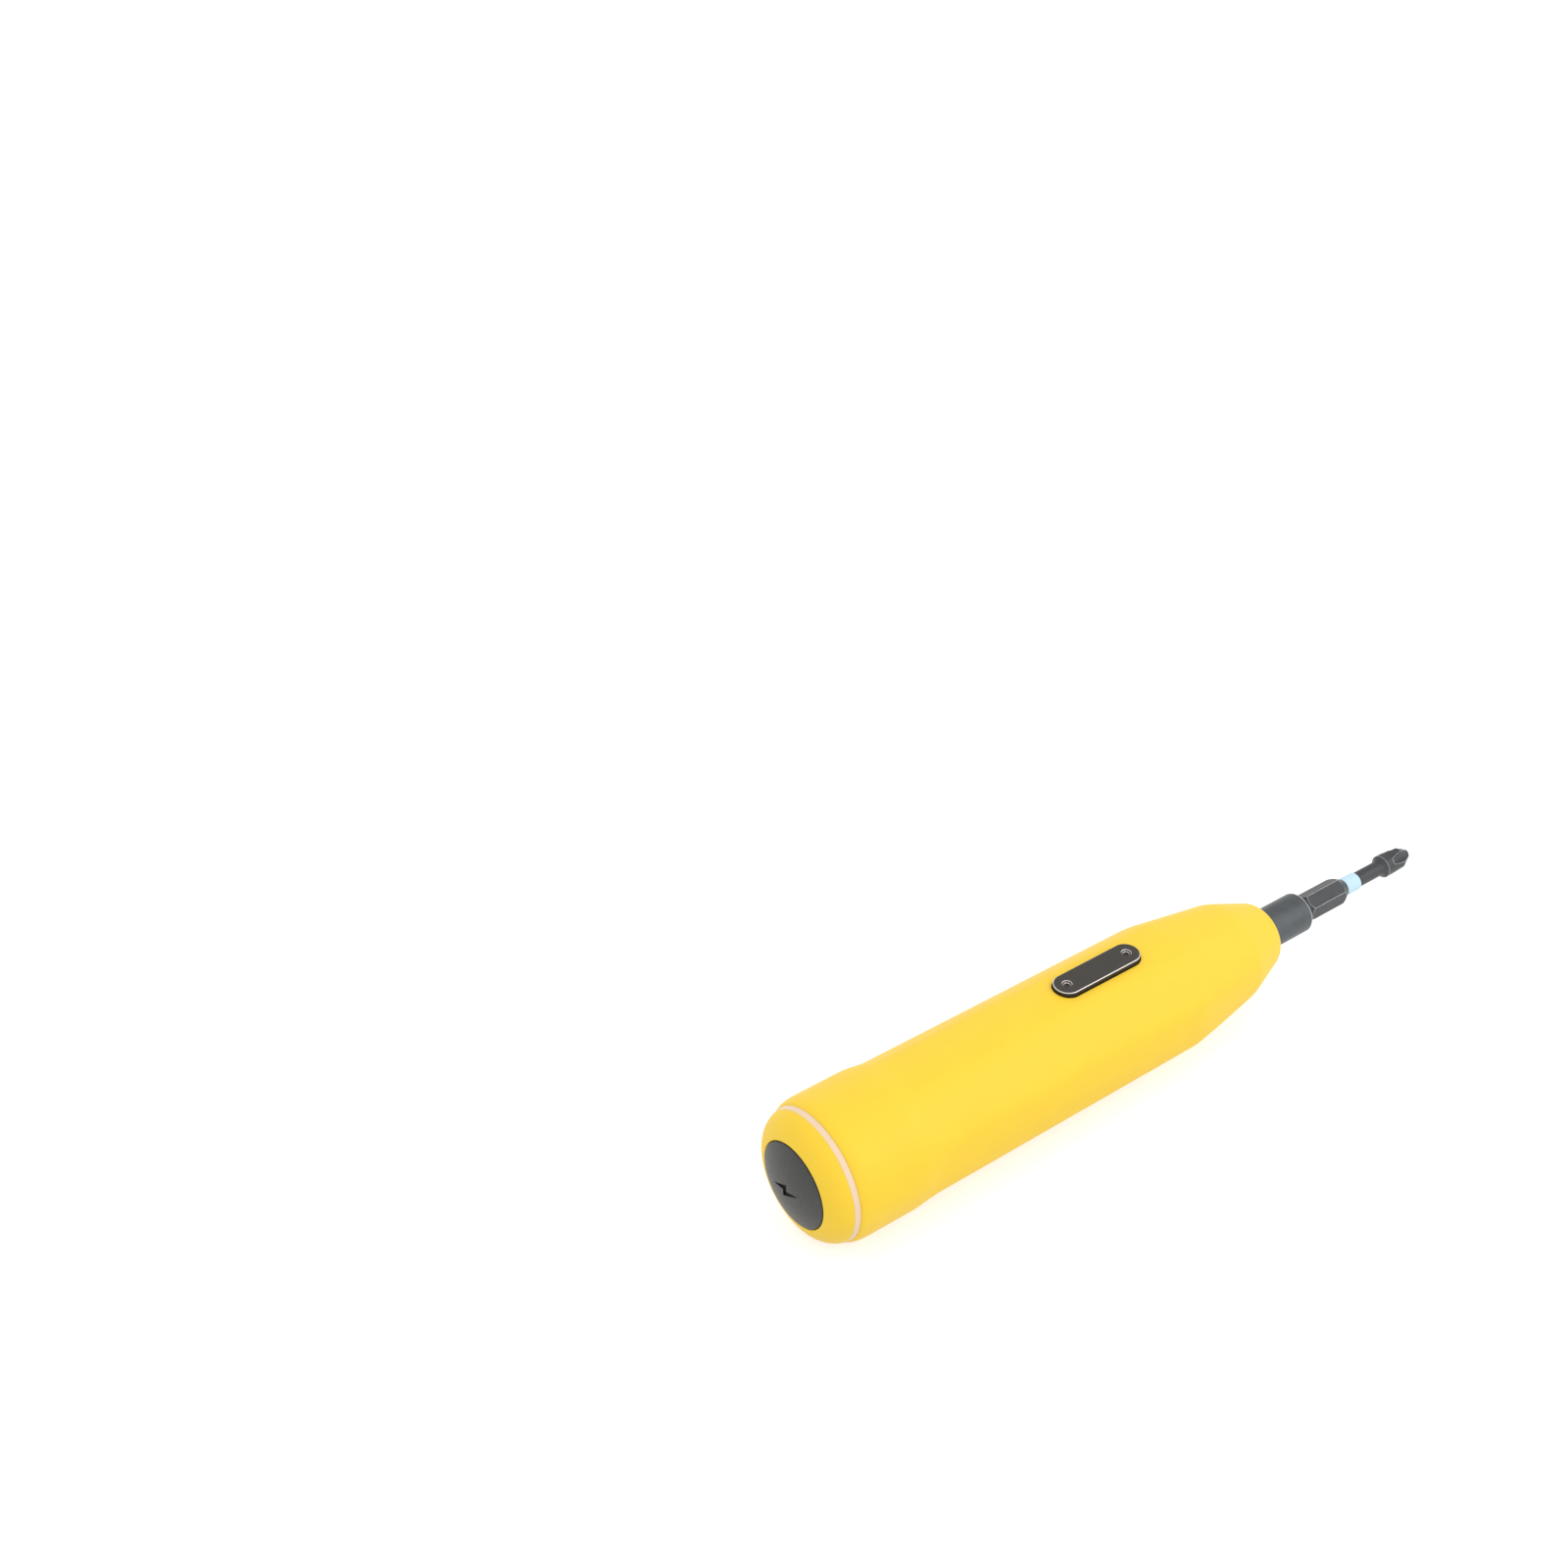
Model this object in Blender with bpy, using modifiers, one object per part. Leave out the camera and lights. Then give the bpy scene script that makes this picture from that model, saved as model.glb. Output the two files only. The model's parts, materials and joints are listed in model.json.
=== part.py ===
"""Inline cordless screwdriver: a one-piece eight-sided body with a rocker switch, a rubber plug over
its charging socket, and a motor whose two-stage planetary gear train turns a hex bit holder.

Sizes are in millimetres and become metres in the helpers. A station, s, is a distance along the
tool's axis from the middle of the tail ring, positive towards the bit. +X is the tool's axis, +Z is
up through the switch, and the origin is under the middle of the tool, on the level of its lowest line.
"""
import math

import bmesh
import bpy
from mathutils import Vector

MM = 0.001
GAP = 0.2            # clearance between neighbouring pieces
SEAM = 0.1           # visible seam between the tail's yellow pieces and the pale ring
SNUG = 0.12          # clearance of a bore on the shaft that it is fixed to
LOOSE = 0.3          # clearance of a hole round a screw or a stem
OVERSHOOT = 1.0      # how far a cutter runs past what it cuts
ROOT = 0.5           # how deep a joined shape is set into the one that carries it
INNER_SIDES = 24     # points round large turned pieces inside the housing
SMALL_SIDES = 12     # points round screws, pins and their holes

# Overall
TIP_S = 194.5        # point of the bit
PLUG_APEX_S = -7.9   # middle of the plug's dome
MID_S = (TIP_S + PLUG_APEX_S) / 2

# Housing: round tail flare, crowned eight-sided grip, two cones and a rounded nose
SIDES = 24           # points round the body, three to each of the eight crowned faces
FACES = 8
CROWN = 0.45         # 1 is a true octagon, 0 is a circle
TAIL_S = 0.63
TAIL_R = 16.3
FLARE_R = 17.36
FLARE_LIP = 3.9
FLARE_END_S = 17.0
GRIP_S = 24.5
GRIP_R = 16.58       # across a face's middle, at the tail end of the grip
SHOULDER_S = 104.6
SHOULDER_R = 16.17
CONE_S = 127.0
CONE_R = 12.8
NOSE_S = 140.1
NOSE_R = 5.6
NOSE_ROUND = 4.2
NOSE_SLOPE = math.radians(20.94)
NOSE_END = math.radians(80.0)
NOSE_HOLE_R = 5.4
AXIS_HEIGHT = FLARE_R * math.cos(math.pi / SIDES)

# The housing's bore steps down towards the nose, so that everything loads from the tail
BORE_R = 14.0
PLATE_STOP_S = 94.15
BARREL_BORE_R = 13.2
BARREL_STOP_S = 112.8
COVER_BORE_R = 12.2
COVER_STOP_S = 115.6
NOSE_BORE_R = 7.2
NOSE_STOP_S = 137.1

# Tail ring, cap and plug
RING_S = (-0.77, 0.53)
RING_R = (16.06, 16.27)
CAP_ROUND = 6.66
CAP_ROUND_S = 1.07
CAP_ROUND_R = 9.68
CAP_RIM_R = 10.95
RECESS_R = 10.75
RECESS_S = -3.6
CAP_FLOOR_S = -1.6
SPIGOT_R = 13.8
SPIGOT_BORE_R = 12.4
SPIGOT_S = 5.0
PLUG_R = 10.55
PLUG_EDGE_S = -5.65
PLUG_BACK_S = -3.9
STEM_R = 1.1
STEM_Z = -7.8
STEM_END_S = 8.5
BARB_R = 1.6
BARB_LENGTH = 1.2

# Charging board and socket
BOARD_S = (3.4, 4.6)
BOARD_R = 12.1
SOCKET_SIZE = (8.94, 3.26)
SOCKET_WALL = 0.35
SOCKET_S = (-3.3, 3.1)
SOCKET_FLOOR_S = 2.1
TONGUE_SIZE = (6.7, 0.7)
TONGUE_S = (-2.7, 1.9)
SCREW_Y = 8.4
SCREW_R = 0.95
SCREW_HEAD_R = 1.9
SCREW_HEAD_S = (-3.5, -2.55)
SCREW_END_S = 8.2

# Cell and its cradle
CELL_R = 9.15
CELL_S = (9.4, 59.2)
CELL_BUTTON_R = 2.8
CELL_BUTTON = 0.7
TAB_THICK = 0.25
TAB_HALF_WIDTH = 2.2
TAB_REACH = 6.8
FRONT_TAB_LEAN = math.radians(124)
CRADLE_R = (9.5, 13.6)
CRADLE_SPREAD = math.radians(82)
CRADLE_S = (5.2, 60.8)
BULKHEAD_S = 8.8
BULKHEAD_TOP_Z = 3.5

# Motor
CAN_R = 12.1
CAN_WALL = 0.7
CAN_S = (62.5, 92.5)
CAN_FRONT = 0.8
CAN_BOSS_R = 3.1
CAN_BOSS_S = 93.9
SHAFT_R = 1.0
SHAFT_END_S = 100.4
END_CAP_S = (62.3, 65.3)
END_CAP_BOSS_S = 61.0
END_CAP_BEARING_S = 63.8
TERMINAL_Y = 8.0
TERMINAL_Z = 2.0
TERMINAL_SIZE = (0.5, 2.2)
TERMINAL_S = (59.9, 63.6)
MAGNET_R = (9.6, 11.2)
MAGNET_SPREAD = math.radians(65)
MAGNET_S = (68.0, 88.0)
ARMATURE_R = 9.1
ARMATURE_CORE_R = 3.2
ARMATURE_S = (69.5, 86.5)
POLES = 3
POLE_SPREAD = math.radians(50)
POLE_STEM = 1.4
POLE_SHOE = 1.3
COMMUTATOR_R = 2.7
COMMUTATOR_S = (66.0, 69.0)
PLATE_R = 13.7
PLATE_S = (92.8, 94.0)
PLATE_SCREW_Z = 8.0
PLATE_SCREW_R = 1.0
PLATE_SCREW_HEAD_R = 1.7
PLATE_SCREW_S = (90.2, 95.0)

# Gears: both stages share one toothed barrel, so ring = sun + 2 x planet
SUN_TEETH = 9
PLANET_TEETH = 18
RING_TEETH = SUN_TEETH + 2 * PLANET_TEETH
PLANETS = 3
MODULE = 0.46
PRESSURE_ANGLE = math.radians(20)
ADDENDUM = 0.8 * MODULE
DEDENDUM = 1.05 * MODULE
BACKLASH = 0.12      # each tooth's thinning at the pitch circle
CENTRES = (SUN_TEETH + PLANET_TEETH) * MODULE / 2
BARREL_R = 13.0
BARREL_S = (94.3, 112.5)
PINION_S = (95.6, 100.8)
FIRST_PLANET_S = (95.9, 100.8)
FIRST_CARRIER_S = (101.2, 102.9)
FIRST_PIN_R = 1.0
FIRST_PIN_S = 96.1
SECOND_SUN_END_S = 108.6
SECOND_PLANET_S = (103.4, 108.6)
OUTPUT_CARRIER_S = (109.0, 111.6)
SECOND_PIN_R = 1.2
SECOND_PIN_S = 103.7
CARRIER_R = 8.8

# Output: cover, bushes, spindle and bit
COVER_R = 12.0
COVER_S = (112.9, 115.3)
SLEEVE_R = 6.9
SLEEVE_END_S = 125.8
REAR_BUSH_R = (4.15, 5.8)
REAR_BUSH_S = (113.2, 119.0)
WASHER_R = (4.2, 6.8)
WASHER_S = (126.0, 126.7)
FRONT_BUSH_R = (5.4, 7.0)
FRONT_BUSH_S = (127.8, 136.7)
JOURNAL_R = 3.5
JOURNAL_S = 109.1
NECK_R = 4.0
NECK_S = 111.7
HOLDER_R = 5.2
HOLDER_S = (127.1, 153.6)
HOLDER_EDGE = 0.9
HEX_ACROSS = 6.35    # quarter-inch hex shank
HEX_TURN = math.radians(30)  # puts one of the hex's corners on top
HEX_PLAY = 0.25
HEX_FLOOR_S = 143.8
BIT_MAGNET_R = 2.7
BIT_MAGNET_S = (141.2, 143.6)
BIT_S = 144.1
BIT_BACK_CHAMFER = 1.1
BIT_HEX_S = 167.1    # where the long front chamfer begins on the hex's corners
BIT_HEX_END_S = 169.5
BIT_HEX_END_R = 2.35
BIT_HEX_STOCK = 0.02 # turned a little over the corners, so that the flats meet
BIT_GROOVE_S = 154.0 # middle of the round groove that quick-release holders grip
BIT_GROOVE_R = 2.72
BIT_GROOVE_ROUND = 3.03
BIT_NECK_R = 2.0
BIT_SHOULDER_S = (182.2, 184.3)
BIT_HEAD_R = 3.0
BIT_HEAD_S = 190.3
BIT_TIP_R = 0.95
BIT_RING_R = (2.1, 2.34)
BIT_RING_S = (169.7, 174.4)
FLUTES = 4
FLUTE_R = 1.5
FLUTE_LEAN = math.radians(16)
FLUTE_WEB = 0.45
FLUTE_LENGTH = 16.0

# Rocker switch
SWITCH_S = 82.8
BUTTON_SIZE = (25.2, 6.8)
BUTTON_Z = (15.65, 17.4)
BUTTON_EDGE = 0.35
BUTTON_PLAY = 0.3
TONGUE_FOOT = (3.0, 4.4)
TONGUE_FOOT_Z = 13.75
PIVOT_Z = 14.6
PIVOT_R = 0.5
PIVOT_PLAY = 0.15
PIVOT_HALF_LENGTH = 3.45
EAR_Y = (2.6, 3.5)
EAR_HALF_LENGTH = 1.5
EAR_TOP_Z = 15.4
CARRIER_BASE_Z = (13.4, 13.55)
CARRIER_BASE_HALF_LENGTH = 3.0
SWITCH_BOARD_S = (70.0, 93.9)
SWITCH_BOARD_HALF_WIDTH = 3.6
SWITCH_BOARD_Z = (12.5, 13.3)
TACT_OFFSET = 8.0
TACT_SIZE = (3.2, 3.2)
TACT_Z = (13.45, 14.6)
TACT_PLUNGER_R = 0.9
TACT_TOP_Z = 14.95

# Leads
LEAD_R = 0.5
LEAD_Z = 12.95
LEAD_END_S = SWITCH_BOARD_S[0] - 2 * GAP
SUPPLY_Y = 1.6
DRIVE_Y = 2.95

# Directions that a turned or extruded shape can run along
ALONG = {
    "X": (math.pi / 2, 0, math.pi / 2),
    "Y": (-math.pi / 2, 0, 0),
    "Z": (0, 0, 0),
}

for old in list(bpy.data.objects):
    bpy.data.objects.remove(old, do_unlink=True)

PARTS = bpy.data.collections.new("inline_screwdriver")
CUTTERS = bpy.data.collections.new("cutters")
for made in (PARTS, CUTTERS):
    bpy.context.scene.collection.children.link(made)


def material(name, colour, roughness, metallic=0.0):
    made = bpy.data.materials.new(name)
    made.use_nodes = True
    shader = made.node_tree.nodes["Principled BSDF"]
    shader.inputs["Base Color"].default_value = (*colour, 1)
    shader.inputs["Roughness"].default_value = roughness
    shader.inputs["Metallic"].default_value = metallic
    made.diffuse_color = (*colour, 1)
    return made


YELLOW = material("yellow_abs", (0.96, 0.62, 0.05), 0.45)
PALE = material("pale_diffuser", (0.86, 0.68, 0.55), 0.3)
RUBBER = material("grey_rubber", (0.045, 0.05, 0.055), 0.7)
BLACK = material("black_plastic", (0.012, 0.012, 0.013), 0.5)
DARK_STEEL = material("dark_steel", (0.09, 0.095, 0.11), 0.35, 1.0)
STEEL = material("bright_steel", (0.6, 0.6, 0.62), 0.3, 1.0)
BRONZE = material("sintered_bronze", (0.5, 0.3, 0.12), 0.5, 1.0)
COPPER = material("copper", (0.7, 0.28, 0.12), 0.35, 1.0)
FERRITE = material("ferrite", (0.05, 0.05, 0.055), 0.7)
NYLON = material("white_nylon", (0.75, 0.74, 0.68), 0.5)
BOARD = material("board_green", (0.02, 0.18, 0.07), 0.4)
CELL = material("cell_wrap_blue", (0.05, 0.25, 0.5), 0.4)
LIGHT_BLUE = material("light_blue", (0.5, 0.75, 0.88), 0.4)
RED = material("red_lead", (0.6, 0.03, 0.02), 0.5)


def place(s=0.0, y=0.0, z=0.0):
    """World position of a point at station s, y to the left and z above the tool's axis."""
    return Vector(((s - MID_S) * MM, y * MM, z * MM + AXIS_HEIGHT * MM))


def part(name, data, location, finish=None, along="Z"):
    """A named object in the parts' collection, turned so that its own Z runs along X, Y or Z."""
    made = bpy.data.objects.new(name, data)
    made.location = location
    made.rotation_euler = ALONG[along]
    if finish:
        made.data.materials.append(finish)
    PARTS.objects.link(made)
    return made


def as_mesh(curve):
    """The curve object as a mesh object with its caps welded, under the same name."""
    name, location, turn = curve.name, curve.location.copy(), curve.rotation_euler.copy()
    bpy.context.view_layer.update()
    evaluated = curve.evaluated_get(bpy.context.evaluated_depsgraph_get())
    mesh = bpy.data.meshes.new_from_object(evaluated)
    welded = bmesh.new()
    welded.from_mesh(mesh)
    bmesh.ops.remove_doubles(welded, verts=welded.verts, dist=1e-6)
    bmesh.ops.recalc_face_normals(welded, faces=welded.faces)
    welded.to_mesh(mesh)
    welded.free()
    bpy.data.objects.remove(curve, do_unlink=True)
    made = bpy.data.objects.new(name, mesh)
    made.location, made.rotation_euler = location, turn
    PARTS.objects.link(made)
    return made


def turned(name, profile, finish=None, steps=32, at=(0, 0, 0), along="X"):
    """A turned solid. profile is (radius, height) pairs down the outer side, front to back, with the
    heights measured from at. A profile that leaves the axis is closed into a ring."""
    mesh = bpy.data.meshes.new(name)
    points = [(r * MM, 0, h * MM) for r, h in profile]
    edges = [(i, i + 1) for i in range(len(points) - 1)]
    if profile[0][0] > 0:
        edges.append((len(points) - 1, 0))
    mesh.from_pydata(points, edges, [])
    made = part(name, mesh, place(*at), finish, along)
    screw = made.modifiers.new("turn", "SCREW")
    screw.steps = screw.render_steps = steps
    screw.use_merge_vertices = True
    screw.merge_threshold = 1e-6
    screw.use_smooth_shade = True
    return made


def disc(name, radius, span, finish=None, steps=32, hole=0.0, at=(0, 0), along="X"):
    """A plain round disc or ring between two stations, at y and z from the axis."""
    back, front = span
    if hole:
        profile = [(hole, front), (radius, front), (radius, back), (hole, back)]
    else:
        profile = [(0, front), (radius, front), (radius, back), (0, back)]
    return turned(name, profile, finish, steps, at=(0, *at), along=along)


def extruded(name, outlines, span, finish=None, at=(0, 0, 0), along="X"):
    """A flat outline, with any further outlines as holes, given thickness from span[0] to span[1]."""
    curve = bpy.data.curves.new(name, "CURVE")
    curve.dimensions = "2D"
    curve.fill_mode = "BOTH"
    curve.extrude = (span[1] - span[0]) / 2 * MM
    for outline in outlines:
        spline = curve.splines.new("POLY")
        spline.points.add(len(outline) - 1)
        for point, (u, v) in zip(spline.points, outline):
            point.co = (u * MM, v * MM, 0, 1)
        spline.use_cyclic_u = True
    middle = (span[0] + span[1]) / 2
    shift = {"X": (middle, 0, 0), "Y": (0, middle, 0), "Z": (0, 0, middle)}[along]
    made = as_mesh(part(name, curve, place(*at) + Vector(shift) * MM, along=along))
    if finish:
        made.data.materials.append(finish)
    return made


def box(name, low, high, finish=None):
    """A box between two corners, each given as station, y and z."""
    made = part(name, bpy.data.meshes.new(name), (place(*low) + place(*high)) / 2, finish)
    size = Vector(high) - Vector(low)
    cube = bmesh.new()
    bmesh.ops.create_cube(cube, size=MM)
    bmesh.ops.scale(cube, vec=size, verts=cube.verts)
    cube.to_mesh(made.data)
    cube.free()
    return made


def lead(name, route, finish):
    """A round insulated wire through points given as station, y and z."""
    curve = bpy.data.curves.new(name, "CURVE")
    curve.dimensions = "3D"
    curve.bevel_depth = LEAD_R * MM
    curve.bevel_resolution = 2
    curve.use_fill_caps = True
    spline = curve.splines.new("POLY")
    spline.points.add(len(route) - 1)
    start = place(*route[0])
    for point, where in zip(spline.points, route):
        point.co = (*(place(*where) - start), 1)
    return part(name, curve, start, finish)


def boolean(target, tool, operation):
    """Cuts tool from target, or joins it on, and puts the tool away with the other cutters."""
    step = target.modifiers.new(tool.name, "BOOLEAN")
    step.operation = operation
    step.object = tool
    step.solver = "EXACT"
    PARTS.objects.unlink(tool)
    CUTTERS.objects.link(tool)
    tool.hide_render = True
    tool.display_type = "WIRE"


def cut(target, *tools):
    for tool in tools:
        boolean(target, tool, "DIFFERENCE")


def join(target, *tools):
    for tool in tools:
        boolean(target, tool, "UNION")


def hang_on(axis_name, location, *pieces):
    """An empty on a joint's axis, with the pieces that move on it as its children."""
    axis = bpy.data.objects.new(axis_name, None)
    axis.location = location
    axis.empty_display_size = 5 * MM
    PARTS.objects.link(axis)
    for piece in pieces:
        piece.parent = axis
        piece.location = piece.location - location
    return axis


def circle(radius, count, centre=(0, 0), start=0.0):
    turns = [start + 2 * math.pi * k / count for k in range(count)]
    return [(centre[0] + radius * math.cos(t), centre[1] + radius * math.sin(t)) for t in turns]


def stadium(length, width, end_points=9):
    """A slot outline, long along its first direction, centred on the origin."""
    radius, reach = width / 2, (length - width) / 2
    outline = []
    for side in (1, -1):
        for k in range(end_points):
            turn = math.pi * (k / (end_points - 1) - 0.5)
            outline.append((side * (reach + radius * math.cos(turn)), side * radius * math.sin(turn)))
    return outline


def sector(inner, outer, middle, spread, count):
    """Part of a ring, spread to each side of the angle middle."""
    turns = [middle - spread + 2 * spread * k / count for k in range(count + 1)]
    far = [(outer * math.cos(t), outer * math.sin(t)) for t in turns]
    near = [(inner * math.cos(t), inner * math.sin(t)) for t in reversed(turns)]
    return far + near


def gear_outline(teeth, tip, root, thinning, phase=0.0, flank_points=2):
    """An involute gear's outline with a tooth centred on the angle phase."""
    pitch = teeth * MODULE / 2
    base = pitch * math.cos(PRESSURE_ANGLE)
    half_tooth = math.pi / 2 / teeth - thinning / (2 * pitch)

    def involute(angle):
        return math.tan(angle) - angle

    def half_angle(radius):
        pressure = math.acos(base / radius) if radius > base else 0.0
        return half_tooth + involute(PRESSURE_ANGLE) - involute(pressure)

    radii = [root + (tip - root) * k / (flank_points - 1) for k in range(flank_points)]
    flanks = [(r, -half_angle(r)) for r in radii] + [(r, half_angle(r)) for r in reversed(radii)]
    outline = []
    for tooth in range(teeth):
        middle = phase + 2 * math.pi * tooth / teeth
        outline += [(r * math.cos(middle + a), r * math.sin(middle + a)) for r, a in flanks]
    return outline


def sun_outline():
    """The nine-tooth sun, with a gap facing the first planet."""
    pitch = SUN_TEETH * MODULE / 2
    gap_first = math.pi / SUN_TEETH
    return gear_outline(SUN_TEETH, pitch + ADDENDUM, pitch - DEDENDUM, BACKLASH, gap_first, flank_points=3)


def planet_angles():
    return [2 * math.pi * k / PLANETS for k in range(PLANETS)]


def planet_centre(angle):
    return CENTRES * math.cos(angle), CENTRES * math.sin(angle)


def smooth_step(t):
    return t * t * (3 - 2 * t)


def housing_stations():
    """(station, radius across the faces, share of the eight-sided form), tail to nose."""
    stations = []
    for k in range(5):
        turn = math.pi / 2 * k / 4
        swell = TAIL_R + (FLARE_R - TAIL_R) * math.sin(turn)
        stations.append((TAIL_S + FLARE_LIP * (1 - math.cos(turn)), swell, 0.0))
    for k in range(5):
        blend = smooth_step(k / 4)
        s = FLARE_END_S + (GRIP_S - FLARE_END_S) * k / 4
        stations.append((s, FLARE_R + (GRIP_R - FLARE_R) * blend, blend))
    stations.append((SHOULDER_S, SHOULDER_R, 1.0))
    stations.append(((SHOULDER_S + CONE_S) / 2, (SHOULDER_R + CONE_R) / 2, 0.8))
    stations.append((CONE_S, CONE_R, 0.0))
    round_s = NOSE_S - NOSE_ROUND * math.sin(NOSE_END)
    round_r = NOSE_R - NOSE_ROUND * math.cos(NOSE_END)
    for k in range(5):
        turn = NOSE_SLOPE + (NOSE_END - NOSE_SLOPE) * k / 4
        s = round_s + NOSE_ROUND * math.sin(turn)
        stations.append((s, round_r + NOSE_ROUND * math.cos(turn), 0.0))
    return stations


def section(s, radius, eight_sided):
    """One ring of the housing: a circle that turns into a crowned octagon with a flat on top."""
    face = 2 * math.pi / FACES
    ring = []
    for k in range(SIDES):
        turn = (k + 0.5) * 2 * math.pi / SIDES
        off_face = (turn + face / 2) % face - face / 2
        r = radius * (1 + eight_sided * CROWN * (1 / math.cos(off_face) - 1))
        ring.append((s * MM, r * math.sin(turn) * MM, r * math.cos(turn) * MM))
    return ring


def housing():
    """The one-piece moulded body: a loft from the round tail through the eight-sided grip to the
    nose, bored out in steps from the tail and slotted for the rocker."""
    loft = bmesh.new()
    rings = []
    for station in housing_stations():
        rings.append([loft.verts.new(point) for point in section(*station)])
    for back, front in zip(rings, rings[1:]):
        for k in range(SIDES):
            j = (k + 1) % SIDES
            loft.faces.new((back[k], back[j], front[j], front[k]))
    loft.faces.new(rings[0])
    loft.faces.new(rings[-1])
    bmesh.ops.recalc_face_normals(loft, faces=loft.faces)
    mesh = bpy.data.meshes.new("housing_shell")
    loft.to_mesh(mesh)
    loft.free()
    mesh.shade_smooth()
    mesh.set_sharp_from_angle(angle=math.radians(25))
    shell = part("housing_shell", mesh, place(), YELLOW)
    bore = [
        (0, NOSE_S + OVERSHOOT),
        (NOSE_HOLE_R, NOSE_S + OVERSHOOT),
        (NOSE_HOLE_R, NOSE_STOP_S),
        (NOSE_BORE_R, NOSE_STOP_S),
        (NOSE_BORE_R, COVER_STOP_S),
        (COVER_BORE_R, COVER_STOP_S),
        (COVER_BORE_R, BARREL_STOP_S),
        (BARREL_BORE_R, BARREL_STOP_S),
        (BARREL_BORE_R, PLATE_STOP_S),
        (BORE_R, PLATE_STOP_S),
        (BORE_R, TAIL_S - OVERSHOOT),
        (0, TAIL_S - OVERSHOOT),
    ]
    cut(shell, turned("housing_bore", bore, steps=INNER_SIDES))
    slot = stadium(BUTTON_SIZE[0] + 2 * BUTTON_PLAY, BUTTON_SIZE[1] + 2 * BUTTON_PLAY)
    wall = (BORE_R - 2 * OVERSHOOT, FLARE_R + OVERSHOOT)
    cut(shell, extruded("switch_slot", [slot], wall, at=(SWITCH_S, 0, 0), along="Z"))


def tail():
    """Pale ring, rounded cap with the charging recess, and the domed rubber plug on its stem."""
    ring_bore = SPIGOT_R + GAP
    ring = [(ring_bore, RING_S[1]), (RING_R[1], RING_S[1]), (RING_R[0], RING_S[0]), (ring_bore, RING_S[0])]
    turned("tail_ring", ring, PALE, steps=SIDES)

    cap_front = RING_S[0] - SEAM
    start = math.asin((CAP_ROUND_S - cap_front) / CAP_ROUND)
    end = math.acos((CAP_RIM_R - CAP_ROUND_R) / CAP_ROUND)
    outside = []
    for k in range(6):
        turn = start + (end - start) * k / 5
        outside.append((CAP_ROUND_R + CAP_ROUND * math.cos(turn), CAP_ROUND_S - CAP_ROUND * math.sin(turn)))
    rim_s = outside[-1][1]
    inside = [(RECESS_R, rim_s), (RECESS_R, RECESS_S), (0, RECESS_S)]
    front = [(0, CAP_FLOOR_S), (SPIGOT_BORE_R, CAP_FLOOR_S), (SPIGOT_BORE_R, SPIGOT_S)]
    spigot = [(SPIGOT_R, SPIGOT_S), (SPIGOT_R, cap_front)]
    cap = turned("tail_cap", front + spigot + outside + inside, YELLOW, steps=SIDES)
    mouth = stadium(SOCKET_SIZE[0] + 2 * GAP, SOCKET_SIZE[1] + 2 * GAP)
    through = (RECESS_S - OVERSHOOT, CAP_FLOOR_S + OVERSHOOT)
    cut(cap, extruded("socket_mouth", [mouth], through))
    cut(cap, disc("stem_hole", STEM_R + LOOSE, through, steps=SMALL_SIDES, at=(0, STEM_Z)))
    seat_s = SCREW_HEAD_S[1] + GAP
    stepped = [
        (0, through[1]),
        (SCREW_R + LOOSE, through[1]),
        (SCREW_R + LOOSE, seat_s),
        (SCREW_HEAD_R + LOOSE, seat_s),
        (SCREW_HEAD_R + LOOSE, through[0]),
        (0, through[0]),
    ]
    for side in (1, -1):
        hole = turned(f"screw_hole_{side}", stepped, steps=SMALL_SIDES, at=(0, side * SCREW_Y, 0))
        cut(cap, hole)

    dome = PLUG_EDGE_S - PLUG_APEX_S
    sphere = (PLUG_R ** 2 + dome ** 2) / (2 * dome)
    spread = math.asin(PLUG_R / sphere)
    bulge = []
    for k in range(5):
        turn = spread * (1 - k / 4)
        bulge.append((sphere * math.sin(turn), PLUG_APEX_S + sphere * (1 - math.cos(turn))))
    bulge[-1] = (0, PLUG_APEX_S)
    plug = turned("port_plug", [(0, PLUG_BACK_S), (PLUG_R, PLUG_BACK_S)] + bulge, RUBBER, steps=SIDES)
    barb_s = STEM_END_S - BARB_LENGTH
    stem = [
        (0, STEM_END_S),
        (STEM_R / 2, STEM_END_S),
        (BARB_R, barb_s),
        (STEM_R, barb_s),
        (STEM_R, PLUG_BACK_S - ROOT),
        (0, PLUG_BACK_S - ROOT),
    ]
    join(plug, turned("plug_stem", stem, steps=SMALL_SIDES, at=(0, 0, STEM_Z)))


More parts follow.
